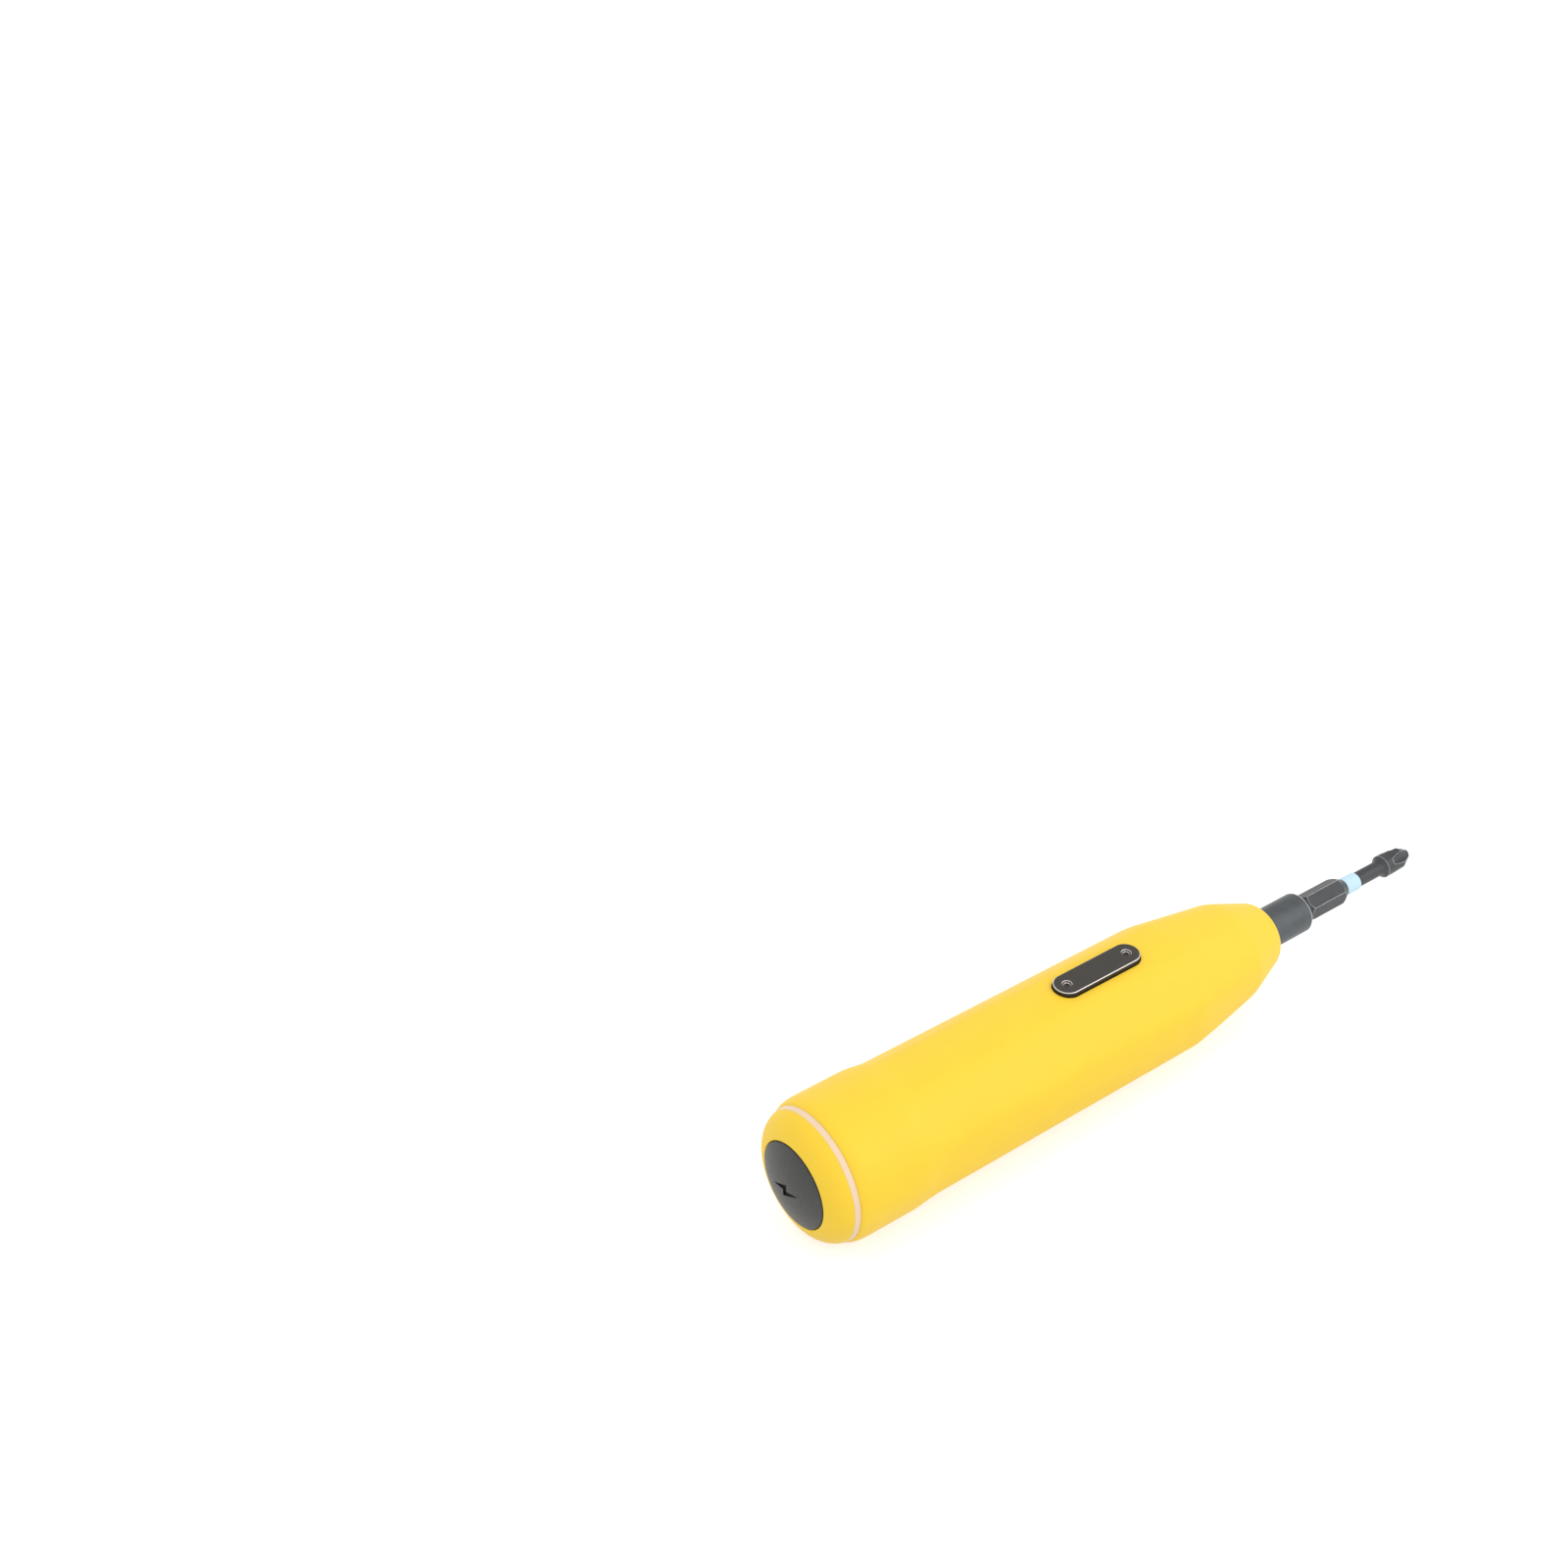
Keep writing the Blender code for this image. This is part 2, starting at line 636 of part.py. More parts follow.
def charging():
    """Round board, the USB-C socket with its tongue, and the two screws that hold the cap."""
    board = disc("charge_board", BOARD_R, BOARD_S, BOARD, steps=INNER_SIDES)
    through = (BOARD_S[0] - OVERSHOOT, BOARD_S[1] + OVERSHOOT)
    cut(board, disc("board_stem_hole", BARB_R + LOOSE, through, steps=SMALL_SIDES, at=(0, STEM_Z)))
    shell = stadium(*SOCKET_SIZE)
    mouth = stadium(SOCKET_SIZE[0] - 2 * SOCKET_WALL, SOCKET_SIZE[1] - 2 * SOCKET_WALL)
    socket = extruded("charge_socket", [shell], SOCKET_S, STEEL)
    cut(socket, extruded("socket_inside", [mouth], (SOCKET_S[0] - OVERSHOOT, SOCKET_FLOOR_S)))
    half_width, half_height = TONGUE_SIZE[0] / 2, TONGUE_SIZE[1] / 2
    low = (TONGUE_S[0], -half_width, -half_height)
    box("charge_socket_tongue", low, (TONGUE_S[1], half_width, half_height), BLACK)
    for side, name in ((1, "cap_screw_left"), (-1, "cap_screw_right")):
        at = (side * SCREW_Y, 0)
        cut(board, disc(f"board_{name}", SCREW_R + LOOSE, through, steps=SMALL_SIDES, at=at))
        profile = [
            (0, SCREW_END_S),
            (SCREW_R, SCREW_END_S - SCREW_R),
            (SCREW_R, SCREW_HEAD_S[1]),
            (SCREW_HEAD_R, SCREW_HEAD_S[1]),
            (SCREW_HEAD_R, SCREW_HEAD_S[0]),
            (0, SCREW_HEAD_S[0]),
        ]
        turned(name, profile, STEEL, steps=SMALL_SIDES, at=(0, *at))


def battery():
    """The cell with its button and welded strips, in a moulded trough with a screwed bulkhead."""
    button_s = CELL_S[1] + CELL_BUTTON
    cell = [
        (0, button_s),
        (CELL_BUTTON_R, button_s),
        (CELL_BUTTON_R, CELL_S[1]),
        (CELL_R, CELL_S[1]),
        (CELL_R, CELL_S[0]),
        (0, CELL_S[0]),
    ]
    turned("battery_cell", cell, CELL, steps=INNER_SIDES)
    strip = stadium(TAB_REACH + 2 * TAB_HALF_WIDTH, 2 * TAB_HALF_WIDTH, end_points=5)
    rear = CELL_S[0] - GAP - TAB_THICK
    for name, back, lean in (
        ("battery_tab_front", button_s + GAP, FRONT_TAB_LEAN),
        ("battery_tab_rear", rear, math.pi / 2),
    ):
        tab = extruded(name, [[(u + TAB_REACH / 2, v) for u, v in strip]], (back, back + TAB_THICK), STEEL)
        tab.rotation_euler.rotate_axis("Z", lean)

    trough = sector(*CRADLE_R, -math.pi / 2, CRADLE_SPREAD, 14)
    cradle = extruded("battery_cradle", [trough], CRADLE_S, BLACK)
    flat = math.asin(BULKHEAD_TOP_Z / CRADLE_R[1])
    turns = [math.pi - flat + (math.pi + 2 * flat) * k / 16 for k in range(17)]
    bulkhead = [(CRADLE_R[1] * math.cos(t), CRADLE_R[1] * math.sin(t)) for t in turns]
    join(cradle, extruded("cradle_bulkhead", [bulkhead], (CRADLE_S[0], BULKHEAD_S)))
    through = (CRADLE_S[0] - OVERSHOOT, BULKHEAD_S + OVERSHOOT)
    cut(cradle, disc("cradle_stem_hole", BARB_R + LOOSE, through, steps=SMALL_SIDES, at=(0, STEM_Z)))
    for side in (1, -1):
        at = (side * SCREW_Y, 0)
        cut(cradle, disc(f"pilot_{side}", SCREW_R + GAP, through, steps=SMALL_SIDES, at=at))


def motor():
    """Can, magnets, end cap and terminals, with the turning shaft, armature and pinion inside."""
    front_hole = SHAFT_R + GAP
    inside_r = CAN_R - CAN_WALL
    can = [
        (front_hole, CAN_BOSS_S),
        (CAN_BOSS_R, CAN_BOSS_S),
        (CAN_BOSS_R, CAN_S[1]),
        (CAN_R, CAN_S[1]),
        (CAN_R, CAN_S[0]),
        (inside_r, CAN_S[0]),
        (inside_r, CAN_S[1] - CAN_FRONT),
        (front_hole, CAN_S[1] - CAN_FRONT),
    ]
    body = turned("motor_can", can, STEEL, steps=INNER_SIDES)
    plate = disc("motor_plate", PLATE_R, PLATE_S, STEEL, INNER_SIDES, hole=CAN_BOSS_R + GAP)
    notch_y = SWITCH_BOARD_HALF_WIDTH + 2 * GAP
    through = (PLATE_S[0] - OVERSHOOT, PLATE_S[1] + OVERSHOOT)
    notch_low = (through[0], -notch_y, SWITCH_BOARD_Z[0] - GAP)
    cut(plate, box("plate_notch", notch_low, (through[1], notch_y, PLATE_R + OVERSHOOT)))
    for side, name in ((1, "motor_screw_upper"), (-1, "motor_screw_lower")):
        at = (0, side * PLATE_SCREW_Z)
        hole = PLATE_SCREW_R + GAP
        can_wall = (CAN_S[1] - CAN_FRONT - OVERSHOOT, CAN_S[1] + OVERSHOOT)
        cut(body, disc(f"can_{name}", hole, can_wall, steps=SMALL_SIDES, at=at))
        cut(plate, disc(f"plate_{name}", hole, through, steps=SMALL_SIDES, at=at))
        screw = [
            (0, PLATE_SCREW_S[1]),
            (PLATE_SCREW_HEAD_R, PLATE_SCREW_S[1]),
            (PLATE_SCREW_HEAD_R, PLATE_S[1] + SNUG),
            (PLATE_SCREW_R, PLATE_S[1] + SNUG),
            (PLATE_SCREW_R, PLATE_SCREW_S[0]),
            (0, PLATE_SCREW_S[0]),
        ]
        turned(name, screw, STEEL, steps=SMALL_SIDES, at=(0, *at))
    for middle, name in ((math.pi / 2, "motor_magnet_upper"), (-math.pi / 2, "motor_magnet_lower")):
        extruded(name, [sector(*MAGNET_R, middle, MAGNET_SPREAD, 14)], MAGNET_S, FERRITE)

    end_cap_profile = [
        (0, END_CAP_BEARING_S),
        (front_hole, END_CAP_BEARING_S),
        (front_hole, END_CAP_S[1]),
        (inside_r - GAP, END_CAP_S[1]),
        (inside_r - GAP, END_CAP_S[0]),
        (CAN_BOSS_R, END_CAP_S[0]),
        (CAN_BOSS_R, END_CAP_BOSS_S),
        (0, END_CAP_BOSS_S),
    ]
    end_cap = turned("motor_end_cap", end_cap_profile, NYLON, steps=INNER_SIDES)
    half_thick, half_height = TERMINAL_SIZE[0] / 2, TERMINAL_SIZE[1] / 2
    for side, name in ((1, "motor_terminal_left"), (-1, "motor_terminal_right")):
        middle = side * TERMINAL_Y
        low = (TERMINAL_S[0], middle - half_thick, TERMINAL_Z - half_height)
        high = (TERMINAL_S[1], middle + half_thick, TERMINAL_Z + half_height)
        box(name, low, high, COPPER)
        slot_low = (END_CAP_S[0] - OVERSHOOT, low[1] - GAP, low[2] - GAP)
        cut(end_cap, box(f"slot_{name}", slot_low, (TERMINAL_S[1] + GAP, high[1] + GAP, high[2] + GAP)))

    shaft = disc("motor_shaft", SHAFT_R, (END_CAP_BEARING_S + GAP, SHAFT_END_S), STEEL, steps=SMALL_SIDES)
    bore = circle(SHAFT_R + SNUG, SMALL_SIDES)
    armature = extruded("motor_armature", [armature_outline(), bore], ARMATURE_S, COPPER)
    commutator = disc("motor_commutator", COMMUTATOR_R, COMMUTATOR_S, COPPER, 18, hole=SHAFT_R + SNUG)
    pinion = extruded("motor_pinion", [sun_outline(), bore], PINION_S, STEEL)
    hang_on("rotor_axis", place(CAN_S[0]), shaft, armature, commutator, pinion)


def armature_outline():
    """Three T-shaped poles round a core."""
    outline = []
    stem = math.asin(POLE_STEM / ARMATURE_CORE_R)
    shoe_r = ARMATURE_R - POLE_SHOE
    neck = math.asin(POLE_STEM / shoe_r)
    for pole in range(POLES):
        middle = 2 * math.pi * pole / POLES
        arc = [(ARMATURE_R, POLE_SPREAD * (k / 4 - 1)) for k in range(9)]
        lower = [(ARMATURE_CORE_R, -stem), (shoe_r, -neck), (shoe_r, -POLE_SPREAD)]
        upper = [(r, -a) for r, a in reversed(lower)]
        outline += [(r * math.cos(middle + a), r * math.sin(middle + a)) for r, a in lower + arc + upper]
    return outline


def planets(prefix, span, pin_r):
    """Three planets round the axis, each with its origin on its own pin."""
    pitch = PLANET_TEETH * MODULE / 2
    bore = circle(pin_r + GAP, SMALL_SIDES)
    for number, angle in enumerate(planet_angles(), 1):
        teeth = gear_outline(PLANET_TEETH, pitch + ADDENDUM, pitch - DEDENDUM, BACKLASH, angle)
        extruded(f"{prefix}_planet_{number}", [teeth, bore], span, STEEL, at=(0, *planet_centre(angle)))


def pins(prefix, radius, span):
    return [
        disc(f"{prefix}_pin_{n}", radius, span, steps=SMALL_SIDES, at=planet_centre(angle))
        for n, angle in enumerate(planet_angles(), 1)
    ]


def gears():
    """The toothed barrel, two sets of planets, and the carriers that hold them."""
    pitch = RING_TEETH * MODULE / 2
    teeth = gear_outline(RING_TEETH, pitch + DEDENDUM, pitch - ADDENDUM, -BACKLASH)
    extruded("ring_gear", [circle(BARREL_R, INNER_SIDES), teeth], BARREL_S, STEEL)
    planets("first", FIRST_PLANET_S, FIRST_PIN_R)
    planets("second", SECOND_PLANET_S, SECOND_PIN_R)

    first = disc("first_carrier", CARRIER_R, FIRST_CARRIER_S, STEEL, INNER_SIDES)
    join(first, *pins("first", FIRST_PIN_R, (FIRST_PIN_S, FIRST_CARRIER_S[0] + ROOT)))
    join(first, extruded("second_sun", [sun_outline()], (FIRST_CARRIER_S[1] - ROOT, SECOND_SUN_END_S)))
    output = disc("output_carrier", CARRIER_R, OUTPUT_CARRIER_S, STEEL, INNER_SIDES, hole=JOURNAL_R + SNUG)
    join(output, *pins("second", SECOND_PIN_R, (SECOND_PIN_S, OUTPUT_CARRIER_S[0] + ROOT)))
    return output


def output_end(carrier):
    """Gearbox cover, bushes and washer, and the spindle with its hex socket, magnet and bit."""
    sleeve_bore = NECK_R + 2 * GAP
    cover = [
        (sleeve_bore, SLEEVE_END_S),
        (SLEEVE_R, SLEEVE_END_S),
        (SLEEVE_R, COVER_S[1]),
        (COVER_R, COVER_S[1]),
        (COVER_R, COVER_S[0]),
        (REAR_BUSH_R[1] + GAP, COVER_S[0]),
        (REAR_BUSH_R[1] + GAP, REAR_BUSH_S[1] + GAP),
        (sleeve_bore, REAR_BUSH_S[1] + GAP),
    ]
    turned("gearbox_cover", cover, BLACK, steps=INNER_SIDES)
    disc("rear_bush", REAR_BUSH_R[1], REAR_BUSH_S, BRONZE, 24, hole=REAR_BUSH_R[0])
    disc("thrust_washer", WASHER_R[1], WASHER_S, STEEL, 24, hole=WASHER_R[0])
    disc("front_bush", FRONT_BUSH_R[1], FRONT_BUSH_S, BRONZE, 24, hole=FRONT_BUSH_R[0])

    front = HOLDER_S[1]
    profile = [
        (0, front),
        (HOLDER_R - HOLDER_EDGE, front),
        (HOLDER_R - HOLDER_EDGE * (1 - math.sqrt(0.5)), front - HOLDER_EDGE * (1 - math.sqrt(0.5))),
        (HOLDER_R, front - HOLDER_EDGE),
        (HOLDER_R, HOLDER_S[0]),
        (NECK_R, HOLDER_S[0]),
        (NECK_R, NECK_S),
        (JOURNAL_R, NECK_S),
        (JOURNAL_R, JOURNAL_S),
        (0, JOURNAL_S),
    ]
    spindle = turned("spindle", profile, DARK_STEEL)
    hexagon = circle((HEX_ACROSS + HEX_PLAY) / math.sqrt(3), 6, start=HEX_TURN)
    cut(spindle, extruded("hex_socket", [hexagon], (HEX_FLOOR_S, front + OVERSHOOT)))
    pocket = (BIT_MAGNET_S[0] - GAP, HEX_FLOOR_S + OVERSHOOT)
    cut(spindle, disc("magnet_pocket", BIT_MAGNET_R + GAP, pocket, steps=SMALL_SIDES))
    magnet = disc("bit_magnet", BIT_MAGNET_R, BIT_MAGNET_S, STEEL, steps=SMALL_SIDES)
    spindle_axis = hang_on("spindle_axis", place(HOLDER_S[1]), carrier, spindle, magnet)
    bit_axis = hang_on("bit_axis", place(BIT_S), *bit())
    bit_axis.parent = spindle_axis
    bit_axis.location = bit_axis.location - spindle_axis.location


def bit():
    """A cross-point bit: grooved hex shank, slim neck with a coloured ring, and a fluted head."""
    corner = HEX_ACROSS / math.sqrt(3)
    stock = corner + BIT_HEX_STOCK
    depth = stock - BIT_GROOVE_R
    opening = math.acos(1 - depth / BIT_GROOVE_ROUND)
    groove = []
    for k in range(5):
        turn = opening * (1 - k / 2)
        bulge = BIT_GROOVE_ROUND * (1 - math.cos(turn))
        groove.append((BIT_GROOVE_R + bulge, BIT_GROOVE_S + BIT_GROOVE_ROUND * math.sin(turn)))
    swell, rise = BIT_SHOULDER_S[1] - BIT_SHOULDER_S[0], BIT_HEAD_R - BIT_NECK_R
    fillet = (swell ** 2 + rise ** 2) / (2 * rise)
    shoulder = []
    for k in range(4):
        turn = math.asin(swell / fillet) * (1 - k / 3)
        s = BIT_SHOULDER_S[0] + fillet * math.sin(turn)
        shoulder.append((BIT_NECK_R + fillet * (1 - math.cos(turn)), s))
    profile = [
        (0, TIP_S),
        (BIT_TIP_R, TIP_S),
        (BIT_HEAD_R, BIT_HEAD_S),
        *shoulder,
        (BIT_NECK_R, BIT_HEX_END_S),
        (BIT_HEX_END_R, BIT_HEX_END_S),
        (stock, BIT_HEX_S),
        *groove,
        (stock, BIT_S + BIT_BACK_CHAMFER),
        (corner - BIT_BACK_CHAMFER, BIT_S),
        (0, BIT_S),
    ]
    steel = turned("screw_bit", profile, DARK_STEEL, steps=24)
    sleeve = [circle(2 * corner, 24), circle(corner, 6, start=HEX_TURN)]
    cut(steel, extruded("hex_flats", sleeve, (BIT_S - OVERSHOOT, BIT_HEX_END_S + GAP)))
    for number in range(FLUTES):
        turn = (number + 0.5) * 2 * math.pi / FLUTES
        out = FLUTE_WEB + FLUTE_R
        half = FLUTE_LENGTH / 2
        flute = [(0, half), (FLUTE_R, half), (FLUTE_R, -half), (0, -half)]
        where = (TIP_S, out * math.cos(turn), out * math.sin(turn))
        tool = turned(f"flute_{number}", flute, steps=20, at=where)
        lean = Vector((-math.cos(FLUTE_LEAN), math.sin(FLUTE_LEAN) * math.cos(turn),
                       math.sin(FLUTE_LEAN) * math.sin(turn)))
        tool.rotation_euler = lean.to_track_quat("Z", "Y").to_euler()
        cut(steel, tool)
    ring = disc("bit_ring", BIT_RING_R[1], BIT_RING_S, LIGHT_BLUE, steps=24, hole=BIT_RING_R[0])
    return steel, ring


def switch():
    """The rocker on its pin, the bracket that holds the pin, and the board with two contacts."""
    top = stadium(*BUTTON_SIZE)
    button = extruded("switch_button", [top], BUTTON_Z, BLACK, at=(SWITCH_S, 0, 0), along="Z")
    edge = button.modifiers.new("edge", "BEVEL")
    edge.width = BUTTON_EDGE * MM
    edge.segments = 2
    edge.limit_method = "ANGLE"
    edge.angle_limit = math.radians(60)
    half = (TONGUE_FOOT[0] / 2, TONGUE_FOOT[1] / 2)
    foot_low = (SWITCH_S - half[0], -half[1], TONGUE_FOOT_Z)
    foot_high = (SWITCH_S + half[0], half[1], BUTTON_Z[0] + ROOT)
    join(button, box("rocker_foot", foot_low, foot_high))
    across = (-BUTTON_SIZE[1], BUTTON_SIZE[1])
    pin_at = (SWITCH_S, 0, PIVOT_Z)
    pin_hole = circle(PIVOT_R + PIVOT_PLAY, SMALL_SIDES)
    cut(button, extruded("rocker_bore", [pin_hole], across, at=pin_at, along="Y"))
    hang_on("rocker_axis", place(*pin_at), button)

    pin_span = (-PIVOT_HALF_LENGTH, PIVOT_HALF_LENGTH)
    extruded("switch_pivot_pin", [circle(PIVOT_R, SMALL_SIDES)], pin_span, STEEL, at=pin_at, along="Y")
    base = CARRIER_BASE_HALF_LENGTH
    low = (SWITCH_S - base, -EAR_Y[1], CARRIER_BASE_Z[0])
    bracket = box("switch_carrier", low, (SWITCH_S + base, EAR_Y[1], CARRIER_BASE_Z[1]), BLACK)
    for side in (1, -1):
        near, far = sorted((side * EAR_Y[0], side * EAR_Y[1]))
        ear_low = (SWITCH_S - EAR_HALF_LENGTH, near, sum(CARRIER_BASE_Z) / 2)
        join(bracket, box(f"ear_{side}", ear_low, (SWITCH_S + EAR_HALF_LENGTH, far, EAR_TOP_Z)))
    cut(bracket, extruded("ear_bore", [pin_hole], across, at=pin_at, along="Y"))

    half_width = SWITCH_BOARD_HALF_WIDTH
    low = (SWITCH_BOARD_S[0], -half_width, SWITCH_BOARD_Z[0])
    box("switch_board", low, (SWITCH_BOARD_S[1], half_width, SWITCH_BOARD_Z[1]), BOARD)
    half = (TACT_SIZE[0] / 2, TACT_SIZE[1] / 2)
    for side, name in ((1, "tact_switch_forward"), (-1, "tact_switch_reverse")):
        s = SWITCH_S + side * TACT_OFFSET
        case = box(name, (s - half[0], -half[1], TACT_Z[0]), (s + half[0], half[1], TACT_Z[1]), BLACK)
        plunger = circle(TACT_PLUNGER_R, SMALL_SIDES)
        stroke = (TACT_Z[1] - ROOT, TACT_TOP_Z)
        join(case, extruded(f"plunger_{side}", [plunger], stroke, at=(s, 0, 0), along="Z"))


def leads():
    """Insulated wires: cell to charging board, board to switch, and switch to motor."""
    for side, colour, finish in ((1, "red", RED), (-1, "black", BLACK)):
        supply = [
            (5.1, side * SUPPLY_Y, 10.4),
            (7.5, side * SUPPLY_Y, 11.0),
            (9.5, side * SUPPLY_Y, 12.2),
            (12.0, side * SUPPLY_Y, LEAD_Z),
            (LEAD_END_S, side * SUPPLY_Y, LEAD_Z),
        ]
        lead(f"supply_lead_{colour}", supply, finish)
        drive = [
            (LEAD_END_S, side * DRIVE_Y, LEAD_Z),
            (66.0, side * 4.3, 12.5),
            (63.5, side * 6.5, 11.5),
            (61.4, side * 8.7, 8.9),
            (60.7, side * 9.2, 6.0),
            (60.5, side * 9.0, 3.2),
        ]
        lead(f"motor_lead_{colour}", drive, finish)
    cell = [
        (60.2, -5.5, 8.15),
        (58.8, -6.1, 9.1),
        (56.5, -6.4, 9.6),
        (11.0, -6.4, 9.6),
        (7.5, -6.2, 9.0),
        (5.1, -5.6, 8.4),
    ]
    lead("battery_lead_red", cell, RED)


housing()
tail()
charging()
battery()
motor()
output_end(gears())
switch()
leads()
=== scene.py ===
"""Looks of the inline cordless screwdriver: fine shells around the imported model, procedural finishes,
a pale floor, soft studio light and the photograph's camera.

Sizes are in millimetres and become metres in place(). A station, s, is a distance along the tool's
axis from the middle of the tail ring, positive towards the bit. A profile point is (radius, s).
"""
import json
import math

import bmesh
import bpy
from mathutils import Matrix, Vector


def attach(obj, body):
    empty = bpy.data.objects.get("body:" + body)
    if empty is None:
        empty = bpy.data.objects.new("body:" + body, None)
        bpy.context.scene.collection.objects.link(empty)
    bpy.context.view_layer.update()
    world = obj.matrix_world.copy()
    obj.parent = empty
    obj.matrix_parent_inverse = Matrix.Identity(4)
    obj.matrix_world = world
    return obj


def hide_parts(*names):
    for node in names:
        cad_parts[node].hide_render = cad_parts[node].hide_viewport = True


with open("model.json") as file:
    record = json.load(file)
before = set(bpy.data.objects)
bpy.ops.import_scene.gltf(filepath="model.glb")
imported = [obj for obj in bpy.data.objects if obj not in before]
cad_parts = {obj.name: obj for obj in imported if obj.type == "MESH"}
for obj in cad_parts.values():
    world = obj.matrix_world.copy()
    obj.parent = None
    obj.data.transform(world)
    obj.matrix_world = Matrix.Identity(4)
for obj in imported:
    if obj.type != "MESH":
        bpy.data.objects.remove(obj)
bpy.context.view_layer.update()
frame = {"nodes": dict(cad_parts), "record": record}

MM = 0.001

# Body
SIDES = 160
FACE = math.pi / 4
CROWN = 0.45
CORNER_ROUND = math.radians(5.5)
TAIL_S, TAIL_R = 0.63, 16.3
FLARE_R, FLARE_LIP, FLARE_MID_S, FLARE_END_S = 17.36, 3.9, (8.0, 12.5), 17.0
GRIP_S, GRIP_R = 24.5, 16.58
SHOULDER_S, SHOULDER_R, SHOULDER_ROUND = 104.6, 16.17, 1.6
CONE_S, CONE_R, CONE_ROUND = 127.0, 12.8, 1.2
CONE_FADE = 2.32
NOSE_S, NOSE_R, NOSE_ROUND = 140.1, 5.6, 4.2
NOSE_SLOPE, NOSE_END = math.radians(20.94), math.radians(80.0)
# The frame's origin is under the middle of the length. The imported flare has 24 sides and rests on one.
MID_S, AXIS_HEIGHT = 93.3, FLARE_R * math.cos(math.pi / 24)
# The bore's profile, from the nose to the tail
BORE = [(5.4, NOSE_S), (5.4, 137.1), (7.2, 137.1), (7.2, 115.6), (12.2, 115.6), (12.2, 112.8),
        (13.2, 112.8), (13.2, 94.15), (14.0, 94.15), (14.0, TAIL_S)]

# Tail
RING_S, RING_R, RING_BORE, RING_EDGE = (-0.85, 0.61), (16.1, 16.32), 14.0, 0.06
CAP_FRONT_S = -0.87
CAP_ROUND, CAP_ROUND_S, CAP_ROUND_R = 6.66, 1.07, 9.68
CAP_RIM_R, RECESS_R, RECESS_S, CAP_FLOOR_S = 10.95, 10.75, -3.6, -1.6
RIM_EDGE, RECESS_EDGE = 0.1, 0.3
SPIGOT_R, SPIGOT_BORE_R, SPIGOT_S = 13.8, 12.4, 5.0
MOUTH, FLOOR_CUT_S = (9.34, 3.66), (-5.0, 0.0)
STEM_R, STEM_Z, STEM_END_S, STEM_ROOM, STEM_OVERLAP = 1.1, -7.8, 8.5, 0.3, 0.5
BARB_R, BARB_LENGTH = 1.6, 1.2
SCREW_Y, SCREW_HOLE_R, SCREW_SINK_R, SCREW_SEAT_S = 8.4, 1.25, 2.2, -2.35
PLUG_R, PLUG_EDGE_S, PLUG_APEX_S, PLUG_BACK_S = 10.55, -5.65, -7.9, -3.9
PLUG_FRONT_EDGE, PLUG_BACK_EDGE = 0.5, 0.2
BOLT = [(-4.4, 1.0), (0.6, -2.0), (0.6, -0.1), (4.4, -1.0), (-0.6, 2.0), (-0.6, 0.1)]
BOLT_S = (-9.0, -7.25)

# Switch
SWITCH_S = 82.8
BUTTON_SIZE, BUTTON_Z, BUTTON_CHAMFER = (25.2, 6.8), (15.65, 17.4), 0.15
SLOT_SIZE, SLOT_Z = (25.8, 7.4), (12.0, 20.0)
DIMPLE_S, DIMPLE_R, DIMPLE_DEPTH = (73.45, 92.15), (1.15, 0.72), (0.3, 0.65)
DIMPLE_CHAMFER, DIMPLE_SLANT, DIMPLE_TOP = 0.1, 0.15, 1.0
FOOT, FOOT_Z, FOOT_OVERLAP = (3.0, 4.4), 13.75, 0.5
PIVOT_Z, PIVOT_HOLE_R, PIVOT_Y = 14.6, 0.65, (-8.0, 8.0)

# Holder and bit
HOLDER_R, HOLDER_S, HOLDER_EDGE, HOLDER_BACK_EDGE = 5.2, (127.1, 153.6), 0.9, 0.3
# Steps of the holder's front rounding, and the steps whose bands take the pale painted highlight
HOLDER_EDGE_STEPS, HOLDER_HIGHLIGHT_STEPS = 12, range(5, 9)
NECK_R, NECK_S, JOURNAL_R, JOURNAL_S = 4.0, 111.7, 3.5, 109.1
HEX_ACROSS, SOCKET_ACROSS, HEX_FLOOR_S = 6.35, 6.6, 143.8
HEX_TURN = math.radians(30)
LEAD_IN_R, LEAD_IN_DEPTH, LEAD_IN_TOP = (3.2, 4.3), 0.7, 0.4
POCKET_R, POCKET_S = 2.9, 141.0
BIT_S, BIT_BACK_CHAMFER = 144.1, 1.1
BIT_HEX_S, BIT_HEX_END_S, BIT_HEX_END_R = 167.1, 169.5, 2.35
GROOVE_S, GROOVE_R, GROOVE_ROUND = 154.0, 2.72, 3.03
BIT_NECK_R, SHOULDER_BIT_S, BIT_HEAD_R, BIT_HEAD_S = 2.0, (182.2, 184.3), 3.0, 190.3
TIP_S, TIP_R = 194.5, 0.95
BIT_RING_R, BIT_RING_S, BIT_RING_EDGE = (2.1, 2.34), (169.7, 174.4), 0.12
FLUTE_R, FLUTE_WEB, FLUTE_LEAN, FLUTE_LENGTH = 1.5, 0.45, math.radians(16), 16.0
STOCK_ROOM, SLEEVE_ROOM, CUT_OVERLAP = 0.02, (1.0, 0.2), 1.0

# Finishes. A likeness is the cosine between the true normal at an edge and a rounded one.
MOTTLE_STOPS, BUMP_HEIGHT = (0.3, 0.7), 0.1
# Pale lines of painted highlight along the steel's sharp edges, drawn in the shader
HIGHLIGHT_COLOUR, HIGHLIGHT_LIKENESS, HIGHLIGHT_SAMPLES, HIGHLIGHT_WIDTH = (0.62, 0.62, 0.62), (0.998, 0.97), 8, 0.16
# Bevels along the bit's sharp edges, which take the pale painted highlight
HIGHLIGHT_BEVEL, HIGHLIGHT_ANGLE, LENGTHWISE = 0.12, math.radians(14), 0.97

